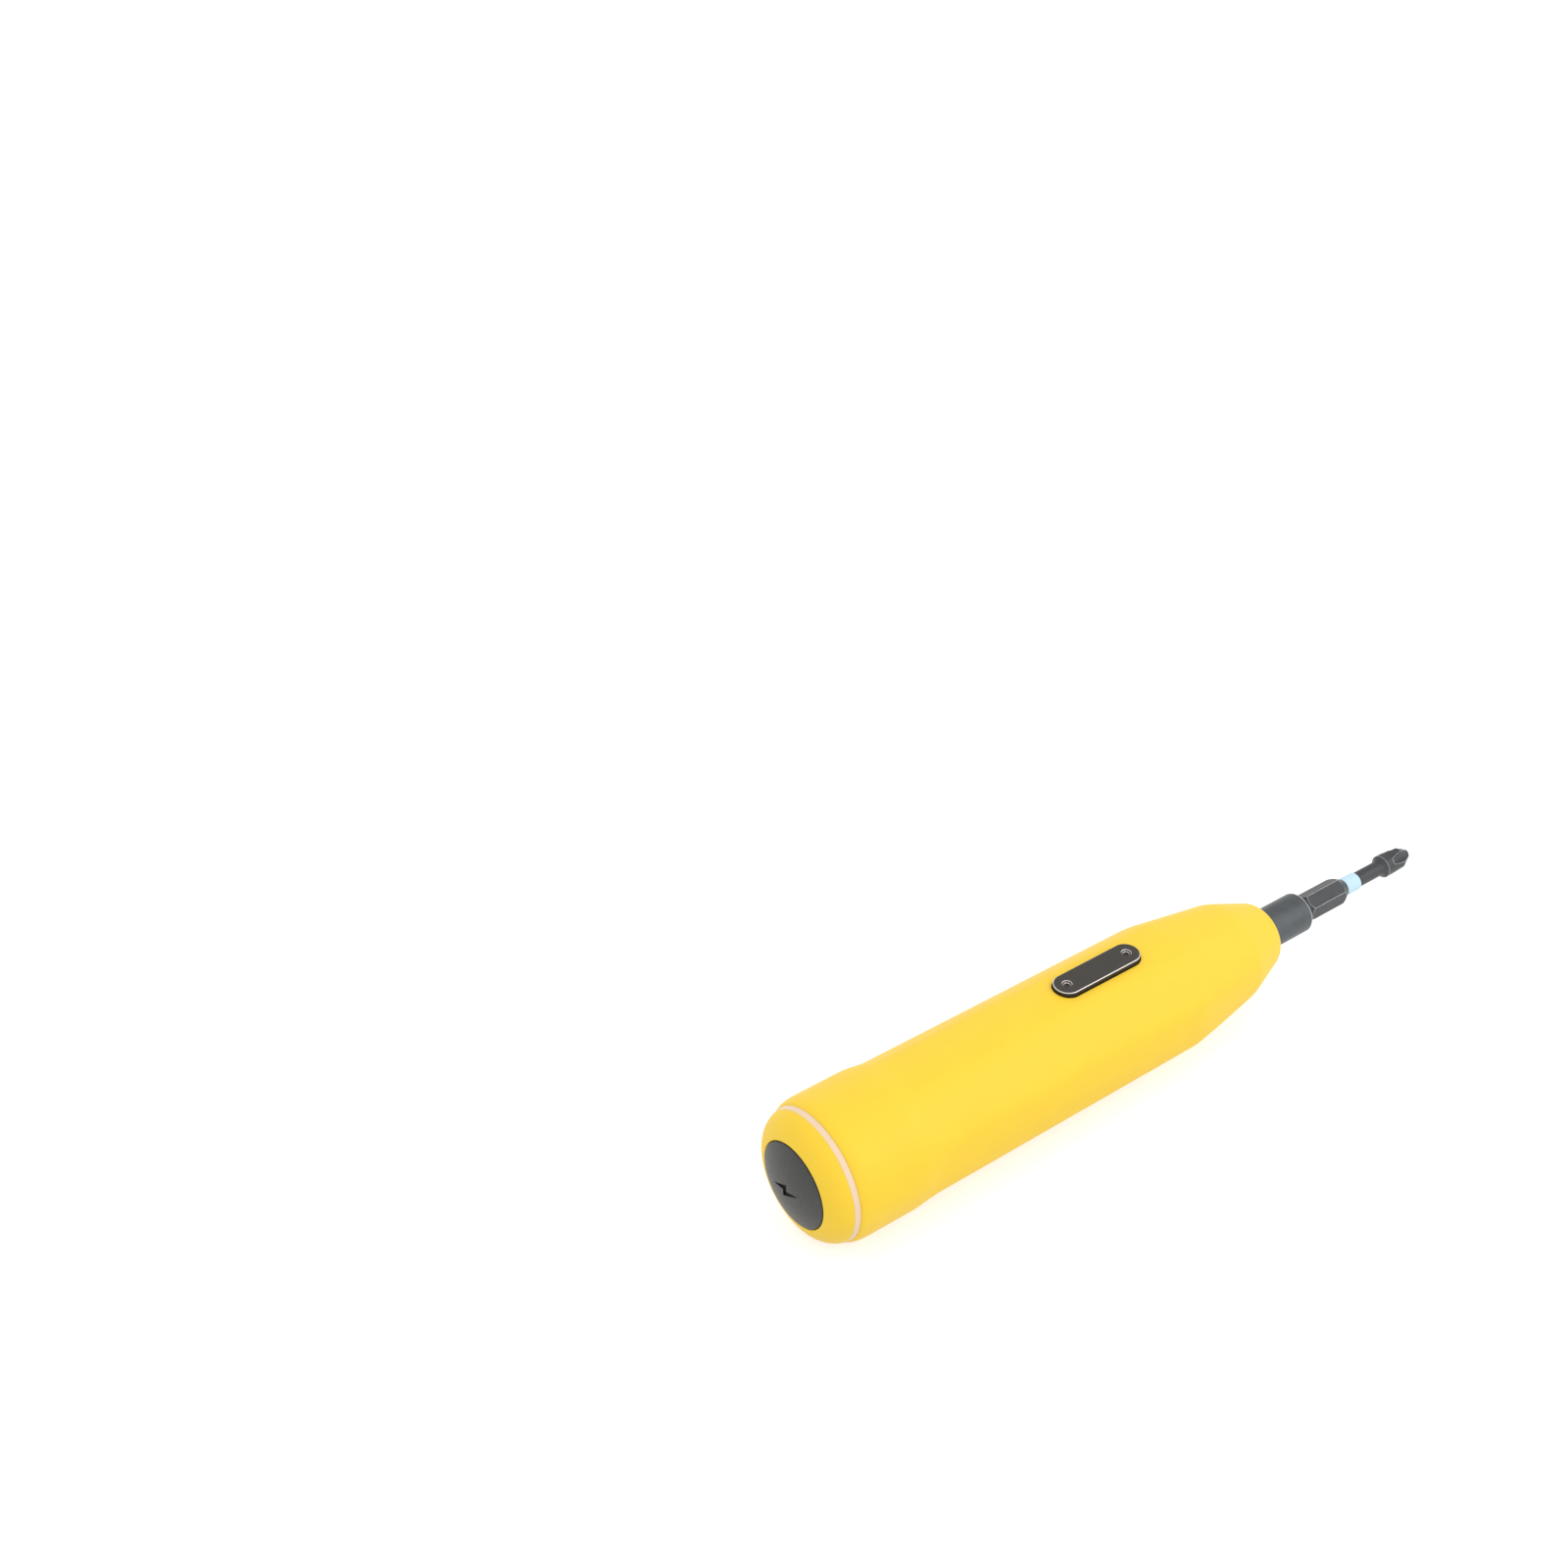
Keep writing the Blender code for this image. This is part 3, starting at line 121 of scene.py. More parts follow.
# Stage, with places in metres
FLOOR_COLOUR, FLOOR_GLOW, FLOOR_REACH = 0.7, 0.55, 3.0
SEEN_RAYS = ("Is Camera Ray", "Is Glossy Ray", "Is Transmission Ray")
WORLD_LIGHT, SOFTBOX_WATTS, SOFTBOX_AT, SOFTBOX_SIZE = 1.0, 2.6, (0.48, -0.65, 0.6), (1.3, 1.0)
CAMERA_AT = (-0.3119712, -0.2838311, 0.3837878)
CAMERA_TURN, CAMERA_TILT = math.radians(53.42), math.radians(36)
LENS, SENSOR, CLIP = 52.695, 36.0, (0.01, 20.0)

scene = bpy.context.scene


# Making the finishes

def highlight_lines(nodes, links, colour, width):
    """The colour, with pale lines of painted highlight, of a width in mm, along the sharp edges."""
    soft = nodes.new("ShaderNodeBevel")
    soft.samples = HIGHLIGHT_SAMPLES
    soft.inputs["Radius"].default_value = width * MM
    surface = nodes.new("ShaderNodeNewGeometry")
    likeness = nodes.new("ShaderNodeVectorMath")
    likeness.operation = "DOT_PRODUCT"
    links.new(soft.outputs["Normal"], likeness.inputs[0])
    links.new(surface.outputs["Normal"], likeness.inputs[1])
    share = nodes.new("ShaderNodeMapRange")
    share.inputs["From Min"].default_value, share.inputs["From Max"].default_value = HIGHLIGHT_LIKENESS
    links.new(likeness.outputs["Value"], share.inputs["Value"])
    mix = nodes.new("ShaderNodeMix")
    mix.data_type = "RGBA"
    sockets = {socket.identifier: socket for socket in (*mix.inputs, *mix.outputs)}
    links.new(share.outputs["Result"], mix.inputs["Factor"])
    links.new(colour, sockets["A_Color"])
    sockets["B_Color"].default_value = (*HIGHLIGHT_COLOUR, 1)
    return sockets["Result_Color"]


def finish(name, colour, rough, metallic=0.0, mottle=0.03, mottle_size=6.0, rough_spread=0.05,
           grain=0.0, grain_size=0.25, specular=0.5, highlight_width=0.0):
    """A Principled material whose colour, roughness and surface vary with two noises. Sizes are in mm.

    mottle is the colour's spread, grain the bump's strength, and the last argument the width of pale lines
    of painted highlight on edges."""
    made = bpy.data.materials.new(name)
    made.use_nodes = True
    nodes, links = made.node_tree.nodes, made.node_tree.links
    shader = nodes["Principled BSDF"]
    shader.inputs["Metallic"].default_value = metallic
    shader.inputs["Specular IOR Level"].default_value = specular
    where = nodes.new("ShaderNodeTexCoord")

    def noise(size, detail):
        cloud = nodes.new("ShaderNodeTexNoise")
        cloud.inputs["Scale"].default_value = 1 / (size * MM)
        cloud.inputs["Detail"].default_value = detail
        links.new(where.outputs["Object"], cloud.inputs["Vector"])
        return cloud.outputs["Fac"]

    broad = noise(mottle_size, 3.0)
    tint = nodes.new("ShaderNodeValToRGB")
    for stop, position, share in zip(tint.color_ramp.elements, MOTTLE_STOPS, (1 - mottle, 1 + mottle)):
        stop.position = position
        stop.color = (*(min(1.0, c * share) for c in colour), 1)
    links.new(broad, tint.inputs["Fac"])
    shown = highlight_lines(nodes, links, tint.outputs["Color"], highlight_width) if highlight_width else tint.outputs["Color"]
    links.new(shown, shader.inputs["Base Color"])
    spread = nodes.new("ShaderNodeMapRange")
    spread.inputs["To Min"].default_value = rough - rough_spread
    spread.inputs["To Max"].default_value = rough + rough_spread
    fine = noise(grain_size, 2.0)
    links.new(fine, spread.inputs["Value"])
    links.new(spread.outputs["Result"], shader.inputs["Roughness"])
    if grain:
        bump = nodes.new("ShaderNodeBump")
        bump.inputs["Strength"].default_value = grain
        bump.inputs["Distance"].default_value = BUMP_HEIGHT * MM
        links.new(fine, bump.inputs["Height"])
        links.new(bump.outputs["Normal"], shader.inputs["Normal"])
    return made


YELLOW = finish("yellow_abs", (0.97, 0.645, 0.026), 0.5, mottle=0.012, grain=0.12, grain_size=0.3)
# A darker copy of the yellow for the bore, the cap's hollows and the cut walls: painted shade.
YELLOW_SHADED = finish("yellow_abs_shaded", (0.8, 0.5, 0.03), 0.55, mottle=0.02, grain=0.1)
PALE = finish("pale_diffuser", (0.86, 0.65, 0.45), 0.38, mottle=0.03, grain=0.05)
RUBBER = finish("grey_rubber", (0.012, 0.012, 0.010), 0.45, mottle=0.6, mottle_size=0.45, specular=0.7,
                grain=1.0, grain_size=0.4)
MARK = finish("rubber_mark", (0.014, 0.014, 0.014), 0.7, mottle=0.1, grain=0.3)
BLACK = finish("black_plastic", (0.030, 0.025, 0.018), 0.5, mottle=0.12, mottle_size=0.7,
               grain=0.45, grain_size=0.25)
# A darker copy of the black for the rocker's side wall: painted shade.
BUTTON_WALL_SHADE = finish("rocker_wall_shade", (0.022, 0.016, 0.012), 0.5, mottle=0.1, grain=0.2)
# A pale, partly metallic finish that paints highlights on the rocker's chamfers.
BUTTON_HIGHLIGHT = finish("rocker_highlight", (0.80, 0.75, 0.73), 0.3, metallic=0.6, mottle=0.05, grain=0.05)
# Both steels carry pale lines of painted highlight along their sharp edges.
DARK = finish("dark_steel", (0.106, 0.115, 0.121), 0.42, metallic=1.0, mottle=0.07, mottle_size=2.5,
              grain=0.10, grain_size=0.18, highlight_width=HIGHLIGHT_WIDTH)
BIT_STEEL = finish("bit_steel", (0.082, 0.085, 0.089), 0.42, metallic=1.0, mottle=0.07, mottle_size=2.5,
                   grain=0.10, grain_size=0.18, highlight_width=HIGHLIGHT_WIDTH)
# A pale finish that paints highlights on the holder's front rim and on the bit's edge bevels.
EDGE_HIGHLIGHT = finish("edge_highlight", (0.78, 0.77, 0.77), 0.4, metallic=0.3, mottle=0.15, mottle_size=0.9)
BLUE = finish("light_blue", (0.56, 0.79, 0.90), 0.42, mottle=0.03, grain=0.05)
BRIGHT = finish("bright_steel", (0.62, 0.62, 0.63), 0.28, metallic=1.0, mottle=0.05, grain=0.05)
BRONZE = finish("sintered_bronze", (0.42, 0.26, 0.12), 0.5, metallic=0.9, mottle=0.15, mottle_size=0.6,
                grain=0.3)
COPPER = finish("copper", (0.72, 0.32, 0.16), 0.3, metallic=1.0, mottle=0.1, grain=0.1)
FERRITE = finish("ferrite", (0.05, 0.05, 0.055), 0.6, mottle=0.2, mottle_size=1.0, grain=0.3)
NYLON = finish("white_nylon", (0.78, 0.77, 0.73), 0.45, mottle=0.03, grain=0.1)
BOARD = finish("board_green", (0.02, 0.16, 0.06), 0.4, mottle=0.12, mottle_size=2.0, grain=0.05)
CELL = finish("cell_wrap_blue", (0.03, 0.10, 0.36), 0.32, mottle=0.04, mottle_size=9.0)
RED = finish("red_lead", (0.55, 0.02, 0.02), 0.4, mottle=0.05)
LEAD_BLACK = finish("black_lead", (0.015, 0.015, 0.015), 0.4, mottle=0.1)
SLOTS = {"yellow_abs": YELLOW, "pale_diffuser": PALE, "grey_rubber": RUBBER, "black_plastic": BLACK,
         "dark_steel": DARK, "bright_steel": BRIGHT, "sintered_bronze": BRONZE, "copper": COPPER,
         "ferrite": FERRITE, "white_nylon": NYLON, "board_green": BOARD, "cell_wrap_blue": CELL,
         "light_blue": BLUE, "red_lead": RED, "black_lead": LEAD_BLACK}


# Tools for shapes

def place(s=0.0, y=0.0, z=0.0):
    """A station on the axis, with offsets to the side and up, as a point of the frame in metres."""
    return Vector(((s - MID_S) * MM, y * MM, (z + AXIS_HEIGHT) * MM))


def shade(obj, sharp=30):
    """Shades a mesh smooth, apart from edges of more than sharp degrees."""
    obj.data.shade_smooth()
    obj.data.set_sharp_from_angle(angle=math.radians(sharp))


def piece(name, mesh, *finishes):
    obj = bpy.data.objects.new(name, mesh)
    for made in finishes:
        mesh.materials.append(made)
    scene.collection.objects.link(obj)
    shade(obj)
    return obj


def mesh_of(name, rings, finishes=None, closed=False):
    """A skin over rings of points. A ring of one point is a pole, and finishes gives each band's index."""
    skin = bmesh.new()
    made = [[skin.verts.new(p) for p in ring] for ring in rings]
    pairs = list(zip(made, made[1:])) + ([(made[-1], made[0])] if closed else [])
    for n, (a, b) in enumerate(pairs):
        count = max(len(a), len(b))
        for k in range(count):
            j = (k + 1) % count
            corners = [a[k % len(a)], a[j % len(a)], b[j % len(b)], b[k % len(b)]]
            face = skin.faces.new(list(dict.fromkeys(corners)))
            face.material_index = finishes[n] if finishes else 0
    bmesh.ops.recalc_face_normals(skin, faces=skin.faces)
    mesh = bpy.data.meshes.new(name)
    skin.to_mesh(mesh)
    skin.free()
    return mesh


def shares(count):
    """From 0 to 1 in equal steps."""
    return [k / count for k in range(count + 1)]


def ring_at(radius, s, steps, y=0.0, z=0.0):
    if radius == 0:
        return [place(s, y, z)]
    turns = [2 * math.pi * k / steps for k in range(steps)]
    return [place(s, y + radius * math.cos(t), z + radius * math.sin(t)) for t in turns]


def turned_mesh(name, profile, steps, y=0.0, z=0.0, closed=False):
    """A profile of (radius, s) or (radius, s, finish of the band that follows), turned about the axis."""
    rings = [ring_at(p[0], p[1], steps, y, z) for p in profile]
    finishes = [p[2] if len(p) > 2 else 0 for p in profile]
    return mesh_of(name, rings, finishes, closed)


def rounded(profile, steps=5):
    """Rounds the corners of an open profile: (radius, s, corner's rounding, finish)."""
    out = []
    for n, (r, s, size, look) in enumerate(profile):
        here = Vector((r, s))
        if not size or n in (0, len(profile) - 1):
            out.append((r, s, look))
            continue
        back = Vector(profile[n - 1][:2]) - here
        ahead = Vector(profile[n + 1][:2]) - here
        opening = back.angle(ahead)
        reach = min(size / math.tan(opening / 2), 0.49 * back.length, 0.49 * ahead.length)
        size = reach * math.tan(opening / 2)
        middle = here + (back.normalized() + ahead.normalized()).normalized() * size / math.sin(opening / 2)
        start = here + back.normalized() * reach - middle
        end = here + ahead.normalized() * reach - middle
        sweep = start.angle_signed(end)
        for k in range(steps + 1):
            turn = -sweep * k / steps
            c, si = math.cos(turn), math.sin(turn)
            spot = middle + Vector((start.x * c - start.y * si, start.x * si + start.y * c))
            out.append((spot.x, spot.y, look))
    return out


def close_ends(mesh):
    """Fills the open ends of a tube with faces of the first finish."""
    ends = bmesh.new()
    ends.from_mesh(mesh)
    for face in bmesh.ops.holes_fill(ends, edges=[e for e in ends.edges if e.is_boundary])["faces"]:
        face.material_index = 0
    bmesh.ops.recalc_face_normals(ends, faces=ends.faces)
    ends.to_mesh(mesh)
    ends.free()


def prism(name, outline, low, high, along="X", at=(0, 0, 0)):
    """An outline extruded along X (outline in y, z), Y (outline in s, z) or Z (outline in s, y)."""
    rings = []
    for level in (low, high):
        if along == "X":
            rings.append([place(level + at[0], a + at[1], b + at[2]) for a, b in outline])
        elif along == "Y":
            rings.append([place(a + at[0], level + at[1], b + at[2]) for a, b in outline])
        else:
            rings.append([place(a + at[0], b + at[1], level + at[2]) for a, b in outline])
    mesh = mesh_of(name, rings)
    close_ends(mesh)
    return mesh


def circle(radius, count, start=0.0):
    turns = [start + 2 * math.pi * k / count for k in range(count)]
    return [(radius * math.cos(t), radius * math.sin(t)) for t in turns]


def stadium(length, width, end_points=25):
    """A slot's outline: straight sides and round ends."""
    radius, reach = width / 2, (length - width) / 2
    outline = []
    for side in (1, -1):
        for k in range(end_points):
            turn = math.pi * (k / (end_points - 1) - 0.5)
            outline.append((side * (reach + radius * math.cos(turn)), side * radius * math.sin(turn)))
    return outline


def settle(obj):
    """Puts what the modifiers make into the mesh."""
    bpy.context.view_layer.update()
    made = bpy.data.meshes.new_from_object(obj.evaluated_get(bpy.context.evaluated_depsgraph_get()))
    obj.modifiers.clear()
    obj.data = made


def carve(obj, operation, *tools, look=None):
    """Cuts tool meshes from obj, or joins them on; the new faces take the finish look."""
    for mesh in tools:
        if look:
            mesh.materials.append(look)
        tool = bpy.data.objects.new("tool", mesh)
        scene.collection.objects.link(tool)
        step = obj.modifiers.new("step", "BOOLEAN")
        step.operation = operation
        step.object = tool
        step.solver = "EXACT"
        step.material_mode = "TRANSFER"
        settle(obj)
        bpy.data.objects.remove(tool)


def edge_bevel(obj, width, finish_index, wanted):
    """Bevels the edges that wanted() picks, and gives the bevels a finish of their own."""
    mesh = bmesh.new()
    mesh.from_mesh(obj.data)
    weight = mesh.edges.layers.float.new("bevel_weight_edge")
    for edge in mesh.edges:
        if len(edge.link_faces) == 2 and wanted(edge):
            edge[weight] = 1.0
    mesh.to_mesh(obj.data)
    mesh.free()
    bevel = obj.modifiers.new("edges", "BEVEL")
    bevel.limit_method = "WEIGHT"
    bevel.width = width * MM
    bevel.segments = 2
    bevel.material = finish_index
    bevel.use_clamp_overlap = True
    settle(obj)


def join_on(obj, body, *nodes, slot):
    """Makes obj ride on a body in place of CAD nodes."""
    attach(obj, body)
    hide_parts(*nodes)


# The body's shell

def crown(off):
    """How far a crowned octagon stands out at an angle off a face's middle, with its corners rounded."""
    off = abs(off)
    edge = FACE / 2 - CORNER_ROUND
    if off <= edge:
        return 1 / math.cos(off) - 1
    slope = math.sin(edge) / math.cos(edge) ** 2
    past = off - edge
    return 1 / math.cos(edge) - 1 + slope * past - slope * past ** 2 / (2 * CORNER_ROUND)


def section(s, radius, share):
    """A ring of the body at a station; share runs from 0, round, to 1, eight-sided."""
    ring = []
    for k in range(SIDES):
        turn = 2 * math.pi * k / SIDES
        off = (turn + FACE / 2) % FACE - FACE / 2
        r = radius * (1 + share * CROWN * crown(off))
        ring.append(place(s, r * math.sin(turn), r * math.cos(turn)))
    return ring


def body_stations():
    """(station, radius across the faces, share of the eight-sided form), tail to nose."""
    out = []
    for t in shares(12):
        turn = math.pi / 2 * t
        swell = TAIL_R + (FLARE_R - TAIL_R) * math.sin(turn)
        out.append((TAIL_S + FLARE_LIP * (1 - math.cos(turn)), swell, 0.0))
    out += [(s, FLARE_R, 0.0) for s in FLARE_MID_S]
    for t in shares(16):
        blend = t * t * (3 - 2 * t)
        out.append((FLARE_END_S + (GRIP_S - FLARE_END_S) * t, FLARE_R + (GRIP_R - FLARE_R) * blend, blend))
    taper = (SHOULDER_R - GRIP_R) / (SHOULDER_S - GRIP_S)
    slope = (CONE_R - SHOULDER_R) / (CONE_S - SHOULDER_S)
    for t in shares(16)[1:-1]:
        s = GRIP_S + (SHOULDER_S - SHOULDER_ROUND - GRIP_S) * t
        out.append((s, GRIP_R + taper * (s - GRIP_S), 1.0))
    for t in shares(8):
        step = SHOULDER_ROUND * (2 * t - 1)
        bend = (slope - taper) * (step + SHOULDER_ROUND) ** 2 / (4 * SHOULDER_ROUND)
        share = 1 - max(0.0, step / (CONE_S - SHOULDER_S)) ** CONE_FADE
        out.append((SHOULDER_S + step, SHOULDER_R + taper * step + bend, share))
    for t in shares(24)[1:-1]:
        s = SHOULDER_S + SHOULDER_ROUND + (CONE_S - CONE_ROUND - SHOULDER_S - SHOULDER_ROUND) * t
        share = 1 - ((s - SHOULDER_S) / (CONE_S - SHOULDER_S)) ** CONE_FADE
        out.append((s, SHOULDER_R + slope * (s - SHOULDER_S), share))
    steep = -math.tan(NOSE_SLOPE)
    for t in shares(6):
        step = CONE_ROUND * (2 * t - 1)
        bend = (steep - slope) * (step + CONE_ROUND) ** 2 / (4 * CONE_ROUND)
        share = max(0.0, 1 - ((CONE_S + step - SHOULDER_S) / (CONE_S - SHOULDER_S)) ** CONE_FADE)
        out.append((CONE_S + step, CONE_R + slope * step + bend, share))
    round_s = NOSE_S - NOSE_ROUND * math.sin(NOSE_END)
    round_r = NOSE_R - NOSE_ROUND * math.cos(NOSE_END)
    for t in shares(18):
        turn = NOSE_SLOPE + (NOSE_END - NOSE_SLOPE) * t
        out.append((round_s + NOSE_ROUND * math.sin(turn), round_r + NOSE_ROUND * math.cos(turn), 0.0))
    return out


def body():
    outside = [section(*station) for station in body_stations()]
    inside = [section(s, r, 0.0) for r, s in BORE]
    # The bore takes the darker copy of the yellow, a painted shade.
    finishes = [0] * (len(outside) - 1) + [1] * len(inside) + [0]
    mesh = mesh_of("body_shell", outside + inside, finishes, closed=True)
    shell = piece("body_shell", mesh, YELLOW, YELLOW_SHADED)
    slot = prism("slot", stadium(*SLOT_SIZE), *SLOT_Z, "Z", (SWITCH_S, 0, 0))
    carve(shell, "DIFFERENCE", slot, look=YELLOW_SHADED)
    shade(shell, sharp=28)
    join_on(shell, "housing", "housing_shell", slot="yellow_abs")


# The tail's ring, cap and plug

def tail():
    ring = rounded([(RING_BORE, RING_S[1], 0, 0), (RING_R[1], RING_S[1], RING_EDGE, 0),
                    (RING_R[0], RING_S[0], RING_EDGE, 0), (RING_BORE, RING_S[0], 0, 0)])
    band = piece("light_ring", turned_mesh("light_ring", ring, 128, closed=True), PALE)
    join_on(band, "housing", "tail_ring", slot="pale_diffuser")

    start = math.asin((CAP_ROUND_S - CAP_FRONT_S) / CAP_ROUND)
    end = math.acos((CAP_RIM_R - CAP_ROUND_R) / CAP_ROUND)
    arc = []
    for t in shares(28):
        turn = start + (end - start) * t
        radius, s = CAP_ROUND_R + CAP_ROUND * math.cos(turn), CAP_ROUND_S - CAP_ROUND * math.sin(turn)
        arc.append((radius, s, 0, 0))
    rim_s = arc[-1][1]
    # The floor's and the spigot's bands, marked 1, take the darker copy of the yellow, a painted shade.
    profile = ([(0, CAP_FLOOR_S, 0, 1), (SPIGOT_BORE_R, CAP_FLOOR_S, 0, 1), (SPIGOT_BORE_R, SPIGOT_S, 0, 1),
                (SPIGOT_R, SPIGOT_S, 0, 1), (SPIGOT_R, CAP_FRONT_S, 0, 0)] + arc
               + [(RECESS_R, rim_s, RIM_EDGE, 0), (RECESS_R, RECESS_S, RECESS_EDGE, 0),
                  (0, RECESS_S, 0, 0)])
    cap = piece("end_cap", turned_mesh("end_cap", rounded(profile), 128), YELLOW, YELLOW_SHADED)
    carve(cap, "DIFFERENCE", prism("mouth", stadium(*MOUTH), *FLOOR_CUT_S), look=YELLOW_SHADED)
    stem_hole = prism("stem_hole", circle(STEM_R + STEM_ROOM, 32), *FLOOR_CUT_S, at=(0, 0, STEM_Z))
    carve(cap, "DIFFERENCE", stem_hole, look=YELLOW_SHADED)
    outer, inner = FLOOR_CUT_S
    for side in (1, -1):
        steps = [(0, inner), (SCREW_HOLE_R, inner), (SCREW_HOLE_R, SCREW_SEAT_S),
                 (SCREW_SINK_R, SCREW_SEAT_S), (SCREW_SINK_R, outer), (0, outer)]
        hole = turned_mesh("screw_hole", steps, 32, y=side * SCREW_Y)
        carve(cap, "DIFFERENCE", hole, look=YELLOW_SHADED)
    shade(cap)
    join_on(cap, "housing", "tail_cap", slot="yellow_abs")
    plug()


def plug():
    rise = PLUG_EDGE_S - PLUG_APEX_S
    sphere = (PLUG_R ** 2 + rise ** 2) / (2 * rise)
    spread = math.asin(PLUG_R / sphere)
    dome = []
    for t in shares(24):
        turn = spread * (1 - t)
        r = sphere * math.sin(turn) if t < 1 else 0
        edge = PLUG_FRONT_EDGE if t == 0 else 0
        dome.append((r, PLUG_APEX_S + sphere * (1 - math.cos(turn)), edge, 0))
    profile = [(0, PLUG_BACK_S, 0, 0), (PLUG_R, PLUG_BACK_S, PLUG_BACK_EDGE, 0)] + dome
    cover = piece("charge_plug", turned_mesh("charge_plug", rounded(profile), 128), RUBBER, MARK)
    barb_s, root_s = STEM_END_S - BARB_LENGTH, PLUG_BACK_S - STEM_OVERLAP
    stem = [(0, STEM_END_S), (STEM_R / 2, STEM_END_S), (BARB_R, barb_s), (STEM_R, barb_s),
            (STEM_R, root_s), (0, root_s)]
    carve(cover, "UNION", turned_mesh("stem", stem, 24, z=STEM_Z))
    carve(cover, "DIFFERENCE", prism("bolt", BOLT, *BOLT_S), look=MARK)
    shade(cover)
    join_on(cover, "port_plug", "port_plug", slot="grey_rubber")


# The rocker switch

def switch():
    top = BUTTON_Z[1]
    levels = [(BUTTON_Z[0], 0.0), (top - BUTTON_CHAMFER, 0.0), (top, BUTTON_CHAMFER)]
    rings = []
    for z, inset in levels:
        outline = stadium(BUTTON_SIZE[0] - 2 * inset, BUTTON_SIZE[1] - 2 * inset)
        rings.append([place(SWITCH_S + a, b, z) for a, b in outline])
    # The side wall takes the darker copy of the black, a painted shade.
    mesh = mesh_of("rocker", rings, [1, 2])
    close_ends(mesh)
    # The top chamfer's band takes the pale painted highlight.
    button = piece("rocker_button", mesh, BLACK, BUTTON_WALL_SHADE, BUTTON_HIGHLIGHT)
    a, b = FOOT[0] / 2, FOOT[1] / 2
    outline = [(-a, -b), (a, -b), (a, b), (-a, b)]
    foot = prism("foot", outline, FOOT_Z, BUTTON_Z[0] + FOOT_OVERLAP, "Z", (SWITCH_S, 0, 0))
    carve(button, "UNION", foot, look=BLACK)
    bore = prism("pivot", circle(PIVOT_HOLE_R, 24), *PIVOT_Y, "Y", (SWITCH_S, 0, PIVOT_Z))
    carve(button, "DIFFERENCE", bore, look=BLACK)
    for s in DIMPLE_S:
        levels = [(0, -DIMPLE_DEPTH[1], 0)]
        # The chamfer rings, marked 1, take the pale painted highlight.
        for radius, depth, step in zip(DIMPLE_R[::-1], DIMPLE_DEPTH[::-1], (DIMPLE_DEPTH[0], 0.0)):
            levels += [(radius - DIMPLE_SLANT, -depth, 0), (radius, -step - DIMPLE_CHAMFER, 1),
                       (radius + DIMPLE_CHAMFER, -step, 0)]
        levels += [(DIMPLE_R[0] + DIMPLE_CHAMFER, DIMPLE_TOP, 0), (0, DIMPLE_TOP, 0)]
        rings = []
        for radius, z, _ in levels:
            outline = circle(radius, 40) if radius else [(0.0, 0.0)]
            rings.append([place(s + a, b, top + z) for a, b in outline])
        dish = mesh_of("dimple", rings, [look for _, _, look in levels])
        dish.materials.append(BLACK)
        carve(button, "DIFFERENCE", dish, look=BUTTON_HIGHLIGHT)
    shade(button, sharp=20)
    join_on(button, "rocker", "switch_button", slot="black_plastic")


# The bit's holder, the bit and its ring

def holder():
    front = HOLDER_S[1]
    edge = []
    for k, t in enumerate(shares(HOLDER_EDGE_STEPS)):
        turn = math.pi / 2 * (1 - t)
        radius = HOLDER_R - HOLDER_EDGE * (1 - math.cos(turn))
        s = front - HOLDER_EDGE * (1 - math.sin(turn))
        # The listed bands of the front rounding take the pale painted highlight.
        edge.append((radius, s, 0, 1 if k in HOLDER_HIGHLIGHT_STEPS else 0))
    profile = [(0, front, 0, 0), *edge, (HOLDER_R, HOLDER_S[0], HOLDER_BACK_EDGE, 0),
               (NECK_R, HOLDER_S[0], 0, 0), (NECK_R, NECK_S, 0, 0), (JOURNAL_R, NECK_S, 0, 0),
               (JOURNAL_R, JOURNAL_S, 0, 0), (0, JOURNAL_S, 0, 0)]
    steel = piece("bit_holder", turned_mesh("bit_holder", rounded(profile, 8), 96), DARK, EDGE_HIGHLIGHT)
    hexagon = circle(SOCKET_ACROSS / math.sqrt(3), 6, HEX_TURN)
    carve(steel, "DIFFERENCE", prism("socket", hexagon, HEX_FLOOR_S, front + CUT_OVERLAP))
    low, high = front - LEAD_IN_DEPTH, front + LEAD_IN_TOP
    lead_in = [(0, low), (LEAD_IN_R[0], low), (LEAD_IN_R[1], high), (0, high)]
    carve(steel, "DIFFERENCE", turned_mesh("lead_in", lead_in, 64))
    mouth = HEX_FLOOR_S + CUT_OVERLAP
    pocket = [(0, POCKET_S), (POCKET_R, POCKET_S), (POCKET_R, mouth), (0, mouth)]
    carve(steel, "DIFFERENCE", turned_mesh("pocket", pocket, 48))
    shade(steel)
    join_on(steel, "spindle", "spindle", slot="dark_steel")


def bit_profile(corner, stock):
    """Half of the bit's outline before the hex and the flutes are cut, from the point back."""
    opening = math.acos(1 - (stock - GROOVE_R) / GROOVE_ROUND)
    groove = []
    for t in shares(16):
        turn = opening * (1 - 2 * t)
        radius = GROOVE_R + GROOVE_ROUND * (1 - math.cos(turn))
        groove.append((radius, GROOVE_S + GROOVE_ROUND * math.sin(turn)))
    swell, rise = SHOULDER_BIT_S[1] - SHOULDER_BIT_S[0], BIT_HEAD_R - BIT_NECK_R
    fillet = (swell ** 2 + rise ** 2) / (2 * rise)
    neck = []
    for t in shares(10):
        turn = math.asin(swell / fillet) * (1 - t)
        radius = BIT_NECK_R + fillet * (1 - math.cos(turn))
        neck.append((radius, SHOULDER_BIT_S[0] + fillet * math.sin(turn)))
    return [(0, TIP_S), (TIP_R, TIP_S), (BIT_HEAD_R, BIT_HEAD_S), *neck, (BIT_NECK_R, BIT_HEX_END_S),
            (BIT_HEX_END_R, BIT_HEX_END_S), (stock, BIT_HEX_S), *groove,
            (stock, BIT_S + BIT_BACK_CHAMFER), (corner - BIT_BACK_CHAMFER, BIT_S), (0, BIT_S)]


